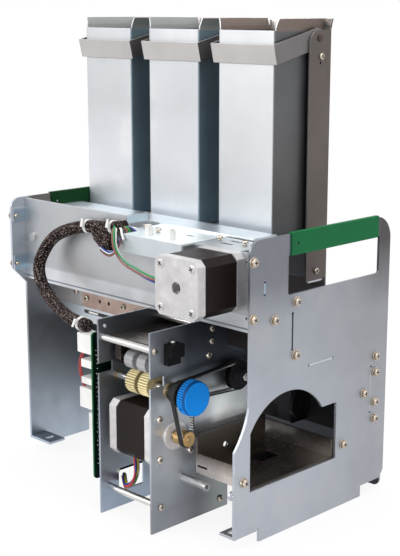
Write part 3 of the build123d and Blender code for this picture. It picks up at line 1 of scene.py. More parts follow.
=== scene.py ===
import bpy
import bmesh
import json
import math
import random
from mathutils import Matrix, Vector


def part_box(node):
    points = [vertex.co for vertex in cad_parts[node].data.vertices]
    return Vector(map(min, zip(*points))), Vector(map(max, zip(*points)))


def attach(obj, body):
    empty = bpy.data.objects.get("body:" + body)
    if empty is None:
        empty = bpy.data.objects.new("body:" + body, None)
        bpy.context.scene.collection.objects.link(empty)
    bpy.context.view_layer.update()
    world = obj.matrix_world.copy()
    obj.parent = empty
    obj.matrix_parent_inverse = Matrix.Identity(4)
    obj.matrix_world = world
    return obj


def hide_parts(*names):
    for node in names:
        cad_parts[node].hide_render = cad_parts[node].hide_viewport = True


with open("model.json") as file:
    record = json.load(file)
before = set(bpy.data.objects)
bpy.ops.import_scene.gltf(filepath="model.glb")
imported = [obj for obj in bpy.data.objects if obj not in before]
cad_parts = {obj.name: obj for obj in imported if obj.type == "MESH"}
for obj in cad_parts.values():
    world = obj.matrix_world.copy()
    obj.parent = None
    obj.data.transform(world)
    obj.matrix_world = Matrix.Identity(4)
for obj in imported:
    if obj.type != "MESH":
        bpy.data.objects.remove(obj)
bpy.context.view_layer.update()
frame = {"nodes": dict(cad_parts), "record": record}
nodes = frame["nodes"]
scene = bpy.context.scene
MM = 0.001
AXES = (Vector((1, 0, 0)), Vector((0, 1, 0)), Vector((0, 0, 1)))

# ------------------------------------------------------------------ camera
PHOTO_HEIGHT = 556
FOCAL_PIXELS = 1216.0
SENSOR_MM = 36.0
CAMERA_PLACE = (0.6868, -0.6589, 0.3788)
CAMERA_TILT = 77.46          # degrees up from straight down
CAMERA_TURN = 45.02          # degrees about Z
FRAME_SHIFT = -0.0018
CLIP_NEAR, CLIP_FAR = 0.01, 50.0


def add_camera():
    data = bpy.data.cameras.new("camera")
    camera = bpy.data.objects.new("camera", data)
    scene.collection.objects.link(camera)
    camera.location = CAMERA_PLACE
    camera.rotation_euler = (math.radians(CAMERA_TILT), 0.0, math.radians(CAMERA_TURN))
    data.sensor_fit = "VERTICAL"
    data.sensor_height = SENSOR_MM
    data.lens = FOCAL_PIXELS / PHOTO_HEIGHT * SENSOR_MM
    data.shift_x = FRAME_SHIFT
    data.shift_y = FRAME_SHIFT
    data.clip_start = CLIP_NEAR
    data.clip_end = CLIP_FAR
    scene.camera = camera


add_camera()

# ------------------------------------------------------------------ material nodes
EDGE_RADIUS = 0.0004                           # how far a hard edge looks softly broken
EDGE_SAMPLES = 4
MIX_FIRST, MIX_SECOND, MIX_RESULT = 6, 7, 2    # a Mix node's colour sockets
FACING_LOW, FACING_HIGH = 0.35, 0.85           # share of the normal along the axis
NOISE_LOW, NOISE_HIGH = 0.3, 0.7               # the part of a noise's range that is used


def put(tree, socket, value):
    """Link another node's output to a socket, or set a plain number or colour on it."""
    if isinstance(value, bpy.types.NodeSocket):
        tree.links.new(value, socket)
    elif isinstance(value, tuple):
        socket.default_value = (*value, 1.0)
    else:
        socket.default_value = value


def node_tree(name):
    material = bpy.data.materials.new(name)
    material.use_nodes = True
    tree = material.node_tree
    shader = tree.nodes["Principled BSDF"]
    return material, tree, shader


def object_coordinates(tree, scale=(1, 1, 1)):
    coordinates = tree.nodes.new("ShaderNodeTexCoord")
    mapping = tree.nodes.new("ShaderNodeMapping")
    mapping.inputs["Scale"].default_value = scale
    tree.links.new(coordinates.outputs["Object"], mapping.inputs["Vector"])
    return mapping.outputs["Vector"]


def noise(tree, vector, scale, detail, rough):
    node = tree.nodes.new("ShaderNodeTexNoise")
    node.inputs["Scale"].default_value = scale
    node.inputs["Detail"].default_value = detail
    node.inputs["Roughness"].default_value = rough
    tree.links.new(vector, node.inputs["Vector"])
    return node.outputs["Fac"]


def ramp(tree, factor, stops):
    node = tree.nodes.new("ShaderNodeValToRGB")
    elements = node.color_ramp.elements
    while len(elements) < len(stops):
        elements.new(0.5)
    for element, (place, colour) in zip(elements, stops):
        element.position = place
        element.color = (*colour, 1.0)
    tree.links.new(factor, node.inputs["Fac"])
    return node.outputs["Color"]


def map_range(tree, factor, low, high, from_low=NOISE_LOW, from_high=NOISE_HIGH):
    node = tree.nodes.new("ShaderNodeMapRange")
    node.inputs["From Min"].default_value = from_low
    node.inputs["From Max"].default_value = from_high
    node.inputs["To Min"].default_value = low
    node.inputs["To Max"].default_value = high
    tree.links.new(factor, node.inputs["Value"])
    return node.outputs["Result"]


def math_node(tree, operation, first, second=0.0):
    node = tree.nodes.new("ShaderNodeMath")
    node.operation = operation
    put(tree, node.inputs[0], first)
    put(tree, node.inputs[1], second)
    return node.outputs["Value"]


def bump(tree, shader, height, strength, distance):
    """Raise the surface by a height, over edges that catch the light as if softly broken."""
    node = tree.nodes.new("ShaderNodeBump")
    if shader.inputs["Normal"].links:
        tree.links.new(shader.inputs["Normal"].links[0].from_socket, node.inputs["Normal"])
    else:
        edge = tree.nodes.new("ShaderNodeBevel")
        edge.samples = EDGE_SAMPLES
        edge.inputs["Radius"].default_value = EDGE_RADIUS
        tree.links.new(edge.outputs["Normal"], node.inputs["Normal"])
    node.inputs["Strength"].default_value = strength
    node.inputs["Distance"].default_value = distance
    tree.links.new(height, node.inputs["Height"])
    tree.links.new(node.outputs["Normal"], shader.inputs["Normal"])


def tint(material, factor, colour):
    """Multiply the base colour by a colour, as far as the factor says."""
    tree = material.node_tree
    base = tree.nodes["Principled BSDF"].inputs["Base Color"]
    mix = tree.nodes.new("ShaderNodeMix")
    mix.data_type = "RGBA"
    mix.blend_type = "MULTIPLY"
    put(tree, mix.inputs["Factor"], factor)
    put(tree, mix.inputs[MIX_FIRST], base.links[0].from_socket)
    put(tree, mix.inputs[MIX_SECOND], colour)
    put(tree, base, mix.outputs[MIX_RESULT])


def coordinate(tree, axis, source="Object"):
    """One coordinate of the object's own place, or of its outward normal."""
    coordinates = tree.nodes.new("ShaderNodeTexCoord")
    split = tree.nodes.new("ShaderNodeSeparateXYZ")
    tree.links.new(coordinates.outputs[source], split.inputs["Vector"])
    return split.outputs[axis]


def facing(axis, sign=1.0):
    """A mask: 1 on faces whose outward normal points along the signed axis."""
    def mask(tree):
        along = math_node(tree, "MULTIPLY", coordinate(tree, axis, "Normal"), sign)
        return map_range(tree, along, 0.0, 1.0, FACING_LOW, FACING_HIGH)
    return mask


def zone(axis, start, end):
    """A mask: 0 before start and 1 after end along an axis of the frame, in metres."""
    return lambda tree: map_range(tree, coordinate(tree, axis), 0.0, 1.0, start, end)


def both(first, second):
    """A mask: where two masks meet."""
    return lambda tree: math_node(tree, "MULTIPLY", first(tree), second(tree))


def shade(colour, factor):
    return tuple(min(1.0, channel * factor) for channel in colour)


# ------------------------------------------------------------------ kinds of material
DARK_CLOUD, PLAIN_CLOUD, LIGHT_CLOUD = 0.30, 0.55, 0.75    # places on the clouds' colour ramp
GLOSS_PATCH = 2.7            # gloss patches to colour clouds, in fineness
ROLLED_GRAIN = 900.0
ROLLED_STRENGTH, ROLLED_DEPTH = 0.10, 0.0004
MOTTLE = 60.0
MOTTLE_SPREAD = 0.08
SMOOTHER, ROUGHER = 0.05, 0.06
FINE_TEXTURE = 1400.0
TEXTURE_STRENGTH, TEXTURE_DEPTH = 0.12, 0.0003
BRAID_FLECKS = 1150.0
BRAID_DARK, BRAID_BROWN, BRAID_THREAD = 0.50, 0.58, 0.70    # places on the flecks' colour ramp
BROWN_OF_DARK = 6.0          # the brown to the dark, in brightness
WEAVE_SHARE = 0.05           # how much the weave moves the flecks
BRAID_ALONG, BRAID_AROUND = 240.0, 25.1
BRAID_STRENGTH, BRAID_DEPTH = 0.6, 0.0004
RIB_SHADE_LOW, RIB_SHADE_HIGH = -0.8, 0.2      # heights of the ribs' wave from painted shade to plain


def sheet_metal(name, colour, rough=(0.30, 0.46), spread=0.10, metallic=0.9, grain=(1, 1, 1),
                cloud=22.0, warm=None):
    """Sheet steel: soft clouding in colour and gloss, and a fine rolled grain in the bump."""
    material, tree, shader = node_tree(name)
    shader.inputs["Metallic"].default_value = metallic
    clouds = noise(tree, object_coordinates(tree), cloud, detail=4.0, rough=0.55)
    light = warm or shade(colour, 1 + spread)
    stops = [(DARK_CLOUD, shade(colour, 1 - spread)), (PLAIN_CLOUD, colour), (LIGHT_CLOUD, light)]
    put(tree, shader.inputs["Base Color"], ramp(tree, clouds, stops))
    patches = noise(tree, object_coordinates(tree), cloud * GLOSS_PATCH, detail=5.0, rough=0.6)
    put(tree, shader.inputs["Roughness"], map_range(tree, patches, rough[0], rough[1]))
    rolled = noise(tree, object_coordinates(tree, grain), ROLLED_GRAIN, detail=2.0, rough=0.5)
    bump(tree, shader, rolled, ROLLED_STRENGTH, ROLLED_DEPTH)
    return material


def tinted_metal(name, colour, tints, **settings):
    """Sheet metal whose colour is multiplied where masks say, mostly as painted shade and painted reflection:
    [(mask, colour)].
    """
    material = sheet_metal(name, colour, **settings)
    for mask, tint_colour in tints:
        tint(material, mask(material.node_tree), tint_colour)
    return material


def plastic(name, colour, rough):
    """Moulded or coated surface with a fine texture and faint unevenness."""
    material, tree, shader = node_tree(name)
    mottle = noise(tree, object_coordinates(tree), MOTTLE, detail=3.0, rough=0.5)
    stops = [(NOISE_LOW, shade(colour, 1 - MOTTLE_SPREAD)), (NOISE_HIGH, shade(colour, 1 + MOTTLE_SPREAD))]
    put(tree, shader.inputs["Base Color"], ramp(tree, mottle, stops))
    put(tree, shader.inputs["Roughness"], map_range(tree, mottle, rough - SMOOTHER, rough + ROUGHER))
    fine = noise(tree, object_coordinates(tree), FINE_TEXTURE, detail=2.0, rough=0.5)
    bump(tree, shader, fine, TEXTURE_STRENGTH, TEXTURE_DEPTH)
    return material


def braid(name, colour, thread):
    """Woven sleeve: crossing threads raise its surface, and flecks of light thread colour it."""
    material, tree, shader = node_tree(name)
    along = math_node(tree, "MULTIPLY", coordinate(tree, "X", "UV"), BRAID_ALONG)
    around = math_node(tree, "MULTIPLY", coordinate(tree, "Y", "UV"), BRAID_AROUND)
    one = math_node(tree, "SINE", math_node(tree, "ADD", along, around))
    other = math_node(tree, "SINE", math_node(tree, "SUBTRACT", along, around))
    weave = math_node(tree, "MULTIPLY", one, other)
    flecks = noise(tree, object_coordinates(tree), BRAID_FLECKS, detail=1.0, rough=0.5)
    mixed = math_node(tree, "ADD", flecks, math_node(tree, "MULTIPLY", weave, WEAVE_SHARE))
    stops = [(BRAID_DARK, colour), (BRAID_BROWN, shade(colour, BROWN_OF_DARK)), (BRAID_THREAD, thread)]
    put(tree, shader.inputs["Base Color"], ramp(tree, mixed, stops))
    shader.inputs["Roughness"].default_value = 0.75
    shader.inputs["Specular IOR Level"].default_value = 0.05
    bump(tree, shader, weave, BRAID_STRENGTH, BRAID_DEPTH)
    return material


def off_axis(tree, shaft):
    """How far a place lies across and above the axis of a shaft that turns along X."""
    across = math_node(tree, "SUBTRACT", coordinate(tree, "Y"), shaft.y)
    above = math_node(tree, "SUBTRACT", coordinate(tree, "Z"), shaft.z)
    return across, above


def ribs(material, shaft, count, depth, darkest):
    """Ribs round a roller that turns along X: a bump in the angle round its axis, and painted shade between
    the ribs.
    """
    tree = material.node_tree
    across, above = off_axis(tree, shaft)
    angle = math_node(tree, "ARCTAN2", above, across)
    wave = math_node(tree, "SINE", math_node(tree, "MULTIPLY", angle, float(count)))
    bump(tree, tree.nodes["Principled BSDF"], wave, 1.0, depth)
    tint(material, 1.0, map_range(tree, wave, darkest, 1.0, RIB_SHADE_LOW, RIB_SHADE_HIGH))


def grooves(material, shaft, outer, inner, colour):
    """Paint shade on the floor of the grooves round a knob that turns along X, by their smaller radius."""
    tree = material.node_tree
    across, above = off_axis(tree, shaft)
    square = math_node(tree, "ADD", math_node(tree, "MULTIPLY", across, across),
                       math_node(tree, "MULTIPLY", above, above))
    sunk = map_range(tree, math_node(tree, "SQRT", square), 0.0, 1.0, outer, inner)
    side = math_node(tree, "SUBTRACT", 1.0, facing("X")(tree))
    tint(material, math_node(tree, "MULTIPLY", sunk, side), colour)


# ------------------------------------------------------------------ plate and sheet metals, with painted shade and reflections
# Bare sheet mirrors dark and light from what stands round it. Each tint below but the copper's bare end
# paints one such patch in one place, given in the frame's metres: painted shade where it darkens, painted
# reflection where it lightens.
zinc = sheet_metal("zinc", (0.56, 0.60, 0.65), warm=(0.63, 0.65, 0.68))
right_plate_metal = tinted_metal(
    "right_plate_metal", (0.44, 0.465, 0.515),
    [(zone("Z", 0.06, 0.20), (0.80, 0.79, 0.78)),    # painted shade, darker upwards
     (zone("Y", -0.01, 0.08), (0.86, 0.84, 0.82)),    # painted shade, darker rearwards
     (both(zone("Z", 0.150, 0.205), zone("Y", 0.050, 0.085)), (0.34, 0.31, 0.31)),    # painted shade, upper rear
     (both(zone("Z", 0.160, 0.190), zone("Y", 0.000, -0.020)), (0.62, 0.62, 0.64))],    # painted shade, upper front
    rough=(0.38, 0.52), warm=(0.49, 0.49, 0.515), spread=0.07)
left_plate_metal = tinted_metal(
    "left_plate_metal", (0.52, 0.56, 0.62),
    [(both(zone("Z", 0.155, 0.13), zone("Z", -0.08, 0.10)), (0.52, 0.51, 0.50)),    # painted shade under the beam
     (zone("Z", 0.11, 0.02), (1.15, 1.24, 1.32)),    # painted reflection, lighter towards the foot
     (both(zone("Z", 0.214, 0.218), zone("Y", -0.045, -0.040)), (0.55, 0.45, 0.38))],    # painted shade, brownish, behind the beam
    rough=(0.34, 0.48), spread=0.08)
beam_metal = tinted_metal(
    "beam_metal", (0.48, 0.49, 0.51),
    [(facing("X"), (0.72, 0.92, 1.08)),    # painted reflection, bluish, on the end tabs
     (zone("Z", 0.1670, 0.1650), (1.35, 1.36, 1.36)),    # painted reflection, lighter on the lower lip
     (both(facing("X"), zone("Z", 0.212, 0.215)), (1.7, 1.55, 1.4)),    # painted highlight on the end tabs' tops
     (both(zone("Z", 0.1565, 0.1560), zone("Z", 0.1548, 0.1553)), (0.35, 0.38, 0.42))],    # painted shade, a dark line in the lip
    rough=(0.34, 0.48), spread=0.10, warm=(0.52, 0.51, 0.51))
transport_metal = tinted_metal(
    "transport_metal", (0.44, 0.47, 0.51),
    [(both(zone("Z", 0.100, 0.114), zone("Y", -0.094, -0.060)), (0.22, 0.24, 0.27)),    # painted shade round the sensor
     (zone("Z", 0.118, 0.150), (0.70, 0.70, 0.72)),    # painted shade towards the top
     (zone("Z", 0.045, 0.015), (0.60, 0.60, 0.61)),    # painted shade towards the foot
     (both(zone("Z", 0.112, 0.098), zone("Y", -0.050, -0.024)), (1.75, 1.75, 1.66)),    # painted reflection, lighter behind the knob
     (both(zone("Z", 0.094, 0.080), zone("Y", -0.050, -0.030)), (1.30, 1.28, 1.26)),    # painted reflection, lighter below that
     (both(zone("Z", 0.058, 0.040), zone("Y", -0.078, -0.045)), (0.52, 0.53, 0.53))],    # painted shade, lower rear
    rough=(0.38, 0.50), spread=0.10)
# Painted shade upwards, and bluish painted shade towards the foot.
left_transport_metal = tinted_metal(
    "left_transport_metal", (0.46, 0.49, 0.53),
    [(zone("Z", 0.05, 0.11), (0.55, 0.55, 0.57)), (zone("Z", 0.05, 0.02), (0.72, 0.80, 0.92))],
    rough=(0.30, 0.44))
# Bluish painted shade towards the magazines' foot, and a painted reflection that lightens the flared rims'
# outward faces.
LOW_PAINTED_SHADE = (zone("Z", 0.222, 0.205), (0.84, 0.90, 0.96))
RIM_PAINTED_REFLECTION = (both(facing("X"), zone("Z", 0.3605, 0.3615)), (1.6, 1.25, 1.05))
MAGAZINE_LOOK = {"grain": (1, 1, 0.03), "warm": (0.62, 0.62, 0.63), "spread": 0.07, "cloud": 16.0,
                 "rough": (0.44, 0.56)}
# Bluish painted shade on the faces towards +X, and a painted reflection that lightens the lower part.
magazine_metal = tinted_metal(
    "magazine_metal", (0.51, 0.52, 0.54),
    [(facing("X"), (0.42, 0.56, 0.63)), LOW_PAINTED_SHADE, RIM_PAINTED_REFLECTION, (zone("Z", 0.300, 0.235), (1.30, 1.30, 1.30))],
    **MAGAZINE_LOOK)
# Painted shade on the faces towards +X, deeper in their lower part.
right_magazine_metal = tinted_metal(
    "right_magazine_metal", (0.56, 0.57, 0.585),
    [(facing("X"), (0.24, 0.24, 0.245)), LOW_PAINTED_SHADE, RIM_PAINTED_REFLECTION,
     (both(facing("X"), zone("Z", 0.30, 0.24)), (0.85, 0.82, 0.78))],
    **MAGAZINE_LOOK)
# Painted highlight on the front faces.
deck_metal = tinted_metal("deck_metal", (0.58, 0.64, 0.68), [(facing("Y", -1.0), (1.45, 1.40, 1.38))],
                          warm=(0.66, 0.70, 0.73), rough=(0.34, 0.48))
# Painted shade on the front faces.
cover_metal = tinted_metal("cover_metal", (0.80, 0.86, 0.88), [(facing("Y", -1.0), (0.68, 0.68, 0.70))],
                           warm=(0.86, 0.89, 0.90), rough=(0.40, 0.52))
bracket_metal = sheet_metal("bracket_metal", (0.46, 0.49, 0.51), warm=(0.52, 0.54, 0.55),
                            rough=(0.34, 0.48))
# Warm painted shade on the front faces, and deeper brown painted shade on the faces towards +X.
back_metal = tinted_metal("back_metal", (0.42, 0.43, 0.45),
                          [(facing("Y", -1.0), (0.95, 0.88, 0.82)), (facing("X"), (0.31, 0.26, 0.23))])
# Painted shade: the rear panel's front faces made nearly black, where the inside lies in shade.
inner_metal = tinted_metal("inner_metal", (0.46, 0.48, 0.51), [(facing("Y", -1.0), (0.08, 0.08, 0.09))])
# Painted shade on the faces towards +X.
bail_metal = tinted_metal("bail_metal", (0.54, 0.52, 0.51), [(facing("X"), (0.36, 0.35, 0.36))],
                          rough=(0.38, 0.5))
# Painted shade on the faces towards +X, and a painted highlight on the front wall.
tray_metal = tinted_metal(
    "tray_metal", (0.16, 0.135, 0.12),
    [(facing("X"), (0.42, 0.42, 0.40)),
     (both(facing("Y", -1.0), zone("Z", 0.056, 0.046)), (3.4, 3.6, 3.8))],    # painted highlight on the front wall
    rough=(0.20, 0.34), warm=(0.22, 0.19, 0.165), spread=0.25, cloud=14.0)
copper = tinted_metal(
    "copper", (0.36, 0.255, 0.215),
    [(zone("X", 0.005, 0.020), (0.07, 0.08, 0.09)),    # shaded right end
     (zone("X", -0.097, -0.100), (1.0, 1.35, 1.6))],    # bare left end
    rough=(0.35, 0.5), metallic=0.6, warm=(0.60, 0.46, 0.38))

# ------------------------------------------------------------------ turned and cast metals
rod_metal = sheet_metal("rod_metal", (0.66, 0.65, 0.63), rough=(0.16, 0.26), cloud=80.0)
screw_metal = sheet_metal("screw_metal", (0.56, 0.49, 0.42), rough=(0.18, 0.3), cloud=200.0)
weight_metal = sheet_metal("weight_metal", (0.32, 0.33, 0.34), rough=(0.3, 0.42), cloud=60.0)
cast_metal = sheet_metal("cast_metal", (0.54, 0.525, 0.525), rough=(0.42, 0.55), metallic=0.6,
                         cloud=120.0, spread=0.14)
brass_metal = sheet_metal("brass_metal", (0.46, 0.30, 0.13), rough=(0.28, 0.40), cloud=150.0)
# Painted shade: the first motor's shaft, deep in its hole, made nearly black.
shaded_shaft_steel = sheet_metal("shaded_shaft_steel", (0.10, 0.09, 0.085), rough=(0.3, 0.4), cloud=150.0)
pin_metal = sheet_metal("pin_metal", (0.10, 0.07, 0.06), rough=(0.45, 0.6), cloud=150.0)
bronze_metal = sheet_metal("bronze_metal", (0.35, 0.26, 0.15), rough=(0.35, 0.5), cloud=200.0)
solder = sheet_metal("solder", (0.75, 0.76, 0.74), rough=(0.2, 0.3), cloud=300.0)

# ------------------------------------------------------------------ plastics and rubbers
DULL_SPECULAR = 0.12
lamination_metal = plastic("lamination_metal", (0.010, 0.006, 0.005), rough=0.4)
green_plastic = plastic("green_plastic", (0.005, 0.115, 0.036), rough=0.5)
blue_plastic = plastic("blue_plastic", (0.0, 0.115, 0.37), rough=0.5)
black_plastic = plastic("black_plastic", (0.006, 0.006, 0.007), rough=0.45)
belt_rubber = plastic("belt_rubber", (0.012, 0.012, 0.012), rough=0.62)
# Painted highlight: the belt teeth in a lighter copy of the belt's rubber.
tooth_highlight_rubber = plastic("tooth_highlight_rubber", (0.20, 0.20, 0.20), rough=0.5)
grey_rubber = plastic("grey_rubber", (0.33, 0.33, 0.34), rough=0.6)
cream_rubber = plastic("cream_rubber", (0.74, 0.64, 0.36), rough=0.6)
# Painted shade: the feed rollers' body in a darker copy of the ribs' cream rubber.
shaded_cream_rubber = plastic("shaded_cream_rubber", (0.30, 0.24, 0.11), rough=0.7)
white_plastic = plastic("white_plastic", (0.70, 0.69, 0.66), rough=0.4)
board_green = plastic("board_green", (0.004, 0.10, 0.028), rough=0.4)
# Painted shade: a near-black for the screw recesses, the tray's hem and the skirt's slot.
dark_recess = plastic("dark_recess", (0.02, 0.018, 0.016), rough=0.6)
sleeve_fabric = braid("sleeve_fabric", (0.006, 0.004, 0.004), (0.36, 0.29, 0.26))
WIRE_COLOURS = {"white": (0.72, 0.72, 0.70), "green": (0.01, 0.22, 0.06), "brown": (0.20, 0.06, 0.04),
                "blue": (0.015, 0.05, 0.30), "red": (0.42, 0.02, 0.02), "yellow": (0.55, 0.42, 0.03),
                "black": (0.012, 0.012, 0.012)}
wire_plastics = {key: plastic("wire_" + key, value, rough=0.4) for key, value in WIRE_COLOURS.items()}
for material in (lamination_metal, green_plastic, blue_plastic, black_plastic, belt_rubber, board_green):
    material.node_tree.nodes["Principled BSDF"].inputs["Specular IOR Level"].default_value = DULL_SPECULAR


def middle(node):
    low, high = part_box(node)
    return (low + high) / 2


KNOB_RADIUS = 0.0131
GROOVE_EDGE, GROOVE_FLOOR = 0.0001, 0.0004     # below the knob's radius
# Painted shade on the board's faces towards +X.
tint(board_green, facing("X")(board_green.node_tree), (0.5, 0.12, 0.25))
tint(green_plastic, zone("X", -0.08, -0.10)(green_plastic.node_tree), (0.9, 0.36, 0.32))    # left grip
ribs(grey_rubber, middle("pinch_shaft"), count=10, depth=0.0001, darkest=0.86)
grooves(blue_plastic, middle("drive_shaft"), KNOB_RADIUS - GROOVE_EDGE, KNOB_RADIUS - GROOVE_FLOOR,
        (0.4, 0.28, 0.30))

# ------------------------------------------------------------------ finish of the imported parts
finish = {
    "zinc_sheet": zinc, "magazine_steel": magazine_metal, "bail_steel": bail_metal,
    "tray_steel": tray_metal, "copper_panel": copper, "bright_steel": rod_metal,
    "screw_nickel": screw_metal, "weight_steel": weight_metal, "cast_aluminium": cast_metal,
    "laminations": lamination_metal, "brass": brass_metal, "green_grip": green_plastic,
    "blue_knob": blue_plastic, "black_plastic": black_plastic, "belt_rubber": belt_rubber,
    "cream_roller": cream_rubber, "grey_roller": grey_rubber, "white_nylon": white_plastic,
    "board_green": board_green, "bush_bronze": bronze_metal, "loom_sleeve": sleeve_fabric,
    "lead_wires": wire_plastics["white"]}
for entry in frame["record"]["subparts"]:
    node = nodes[entry["node"]]
    node.data.materials.clear()
    node.data.materials.append(finish[entry["material_slot"]])
# Nodes with materials of their own, most with painted shade and painted reflections in their colour.
own_finish = {
    "right_side_plate": right_plate_metal, "left_side_plate": left_plate_metal,
    "front_beam": beam_metal, "transport_right_plate": transport_metal,
    "transport_left_plate": left_transport_metal, "deck_plate": deck_metal,
    "rear_panel": inner_metal, "sensor_cover": cover_metal, "motor_bracket": bracket_metal,
    "magazine_back_plate": back_metal, "magazine_right": right_magazine_metal,
    "motor_a_shaft": shaded_shaft_steel, "motor_b_shaft": bronze_metal,
    "feed_rollers": shaded_cream_rubber, "bail_pins": pin_metal}
for name, material in own_finish.items():
    nodes[name].data.materials[0] = material

# ------------------------------------------------------------------ mesh helpers
WELD = 0.00001


def new_piece(name, builder, materials, body="frame"):
    """Make a piece of the builder's faces, and let it ride on a body."""
    bmesh.ops.recalc_face_normals(builder, faces=builder.faces)
    mesh = bpy.data.meshes.new(name)
    builder.to_mesh(mesh)
    builder.free()
    piece = bpy.data.objects.new(name, mesh)
    scene.collection.objects.link(piece)
    for material in materials:
        mesh.materials.append(material)
    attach(piece, body)
    return piece


def ring_of(builder, centre, side, other, radii):
    """A ring of points round a centre, one for each radius."""
    ring = []
    for step, radius in enumerate(radii):
        angle = 2 * math.pi * step / len(radii)
        spot = centre + (side * math.cos(angle) + other * math.sin(angle)) * radius
        ring.append(builder.verts.new(spot))
    return ring


def skin(builder, rings, material=0):
    """Close a stack of rings into a smooth-sided solid with flat ends."""
    steps = len(rings[0])
    for near, far in zip(rings, rings[1:]):
        for step in range(steps):
            after = (step + 1) % steps
            face = builder.faces.new((near[step], near[after], far[after], far[step]))
            face.material_index = material
            face.smooth = True
    for ring in (rings[0], rings[-1]):
        builder.faces.new(ring).material_index = material


def lathe(builder, base, axis, profile, steps=24, material=0):
    """Turn a profile of (distance along the axis, radius) round an axis from a base point."""
    axis = axis.normalized()
    side = axis.orthogonal().normalized()
    other = axis.cross(side)
    rings = [ring_of(builder, base + axis * along, side, other, [radius] * steps)
             for along, radius in profile]
    skin(builder, rings, material)


def slab(builder, centre, axes, sizes, material=0):
    """A box from its centre, three axes and three sizes."""
    corners = []
    for signs in ((-1, -1, -1), (1, -1, -1), (1, 1, -1), (-1, 1, -1), (-1, -1, 1), (1, -1, 1), (1, 1, 1),
                  (-1, 1, 1)):
        spot = centre.copy()
        for sign, axis, size in zip(signs, axes, sizes):
            spot += axis * (sign * size / 2)
        corners.append(builder.verts.new(spot))
    for loop in ((0, 3, 2, 1), (4, 5, 6, 7), (0, 1, 5, 4), (1, 2, 6, 5), (2, 3, 7, 6), (3, 0, 4, 7)):
        face = builder.faces.new([corners[index] for index in loop])
        face.material_index = material


def welded(node):
    """A copy of a CAD node's mesh with its coincident points joined."""
    builder = bmesh.new()
    builder.from_mesh(nodes[node].data)
    bmesh.ops.remove_doubles(builder, verts=builder.verts, dist=WELD)
    builder.verts.ensure_lookup_table()
    return builder


def islands(node):
    """The separate solids of a CAD node as lists of points."""
    builder = welded(node)
    seen, groups = set(), []
    for start in builder.verts:
        if start.index in seen:
            continue
        seen.add(start.index)
        stack, group = [start], []
        while stack:
            vert = stack.pop()
            group.append(vert.co.copy())
            for edge in vert.link_edges:
                beyond = edge.other_vert(vert)
                if beyond.index not in seen:
                    seen.add(beyond.index)
                    stack.append(beyond)
        groups.append(group)
    builder.free()
    return groups


def span(points):
    """The lowest and the highest corner round some points."""
    low = Vector([min(point[k] for point in points) for k in range(3)])
    high = Vector([max(point[k] for point in points) for k in range(3)])
    return low, high


# ------------------------------------------------------------------ screws
SCREW_TURN = 1.9             # radians of turn from one screw's recess to the next
MOTOR_REAR_Y = -0.093        # bare screws in front of this hold the first motor's rear cap
PLATE_WASHER, SPRING_WASHER = 0.0008, 0.0007
WASHER_GAP = 0.0001
WASHER_EDGE = 0.8            # where a plate washer's rounding starts, in shares of its thickness
WASHER_FACE = 0.96           # a plate washer's outer face, in shares of its radius
# Radii in shares of the CAD screw's widest radius
SPRING_RADIUS = 0.80
WASHERED_HEAD, BARE_HEAD, MOTOR_HEAD = 0.77, 0.96, 1.2
HEAD_RIM = 0.9               # points further out than this belong to the head
WASHERED_STACK = 0.0030      # both washers and the head
BARE_STACK = 0.0017
# (share of the head's height, share of its radius)
PAN_PROFILE = ((0.0, 1.0), (0.45, 1.0), (0.75, 0.90), (0.93, 0.70), (1.0, 0.42))
RECESS_LENGTH, RECESS_WIDTH = 1.15, 0.26       # in shares of the head's radius
RECESS_THICK, RECESS_SUNK = 0.0006, 0.0002
SHANK_RADIUS = 0.0012
SHORTEST_SHANK = 0.0005
NICKEL, SPRING, RECESS, SILVER = 0, 1, 2, 3    # places in a screw piece's list of materials


def screw_place(points):
    """(middle of the head's outer face, outward axis, head radius, whole length) of a screw solid."""
    low, high = span(points)
    size = high - low
    axis = min(range(3), key=lambda k: abs(size[(k + 1) % 3] - size[(k + 2) % 3]))
    radius = size[(axis + 1) % 3] / 2
    centre = (low + high) / 2
    wide = [p[axis] for p in points
            if math.hypot(*(p[k] - centre[k] for k in range(3) if k != axis)) > HEAD_RIM * radius]
    outward = 1.0 if sum(wide) / len(wide) > centre[axis] else -1.0
    face = centre.copy()
    face[axis] = high[axis] if outward > 0 else low[axis]
    return face, AXES[axis] * outward, radius, size[axis]


def add_washers(builder, start, axis, radius):
    lathe(builder, start, axis, [(0.0, radius), (PLATE_WASHER * WASHER_EDGE, radius),
                                 (PLATE_WASHER, radius * WASHER_FACE)])
    spring = radius * SPRING_RADIUS
    lathe(builder, start + axis * (PLATE_WASHER + WASHER_GAP), axis,
          [(0.0, spring), (SPRING_WASHER, spring)], material=SPRING)


def add_recess(builder, face, axis, head_radius, turn):
    """A cross of two dark bars of painted shade for the recess, level with the head's face."""
    side = axis.orthogonal().normalized()
    other = axis.cross(side)
    one = side * math.cos(turn) + other * math.sin(turn)
    two = axis.cross(one)
    size = (head_radius * RECESS_LENGTH, head_radius * RECESS_WIDTH, RECESS_THICK)
    for along, across in ((one, two), (two, one)):
        slab(builder, face - axis * RECESS_SUNK, (along, across, axis), size, RECESS)


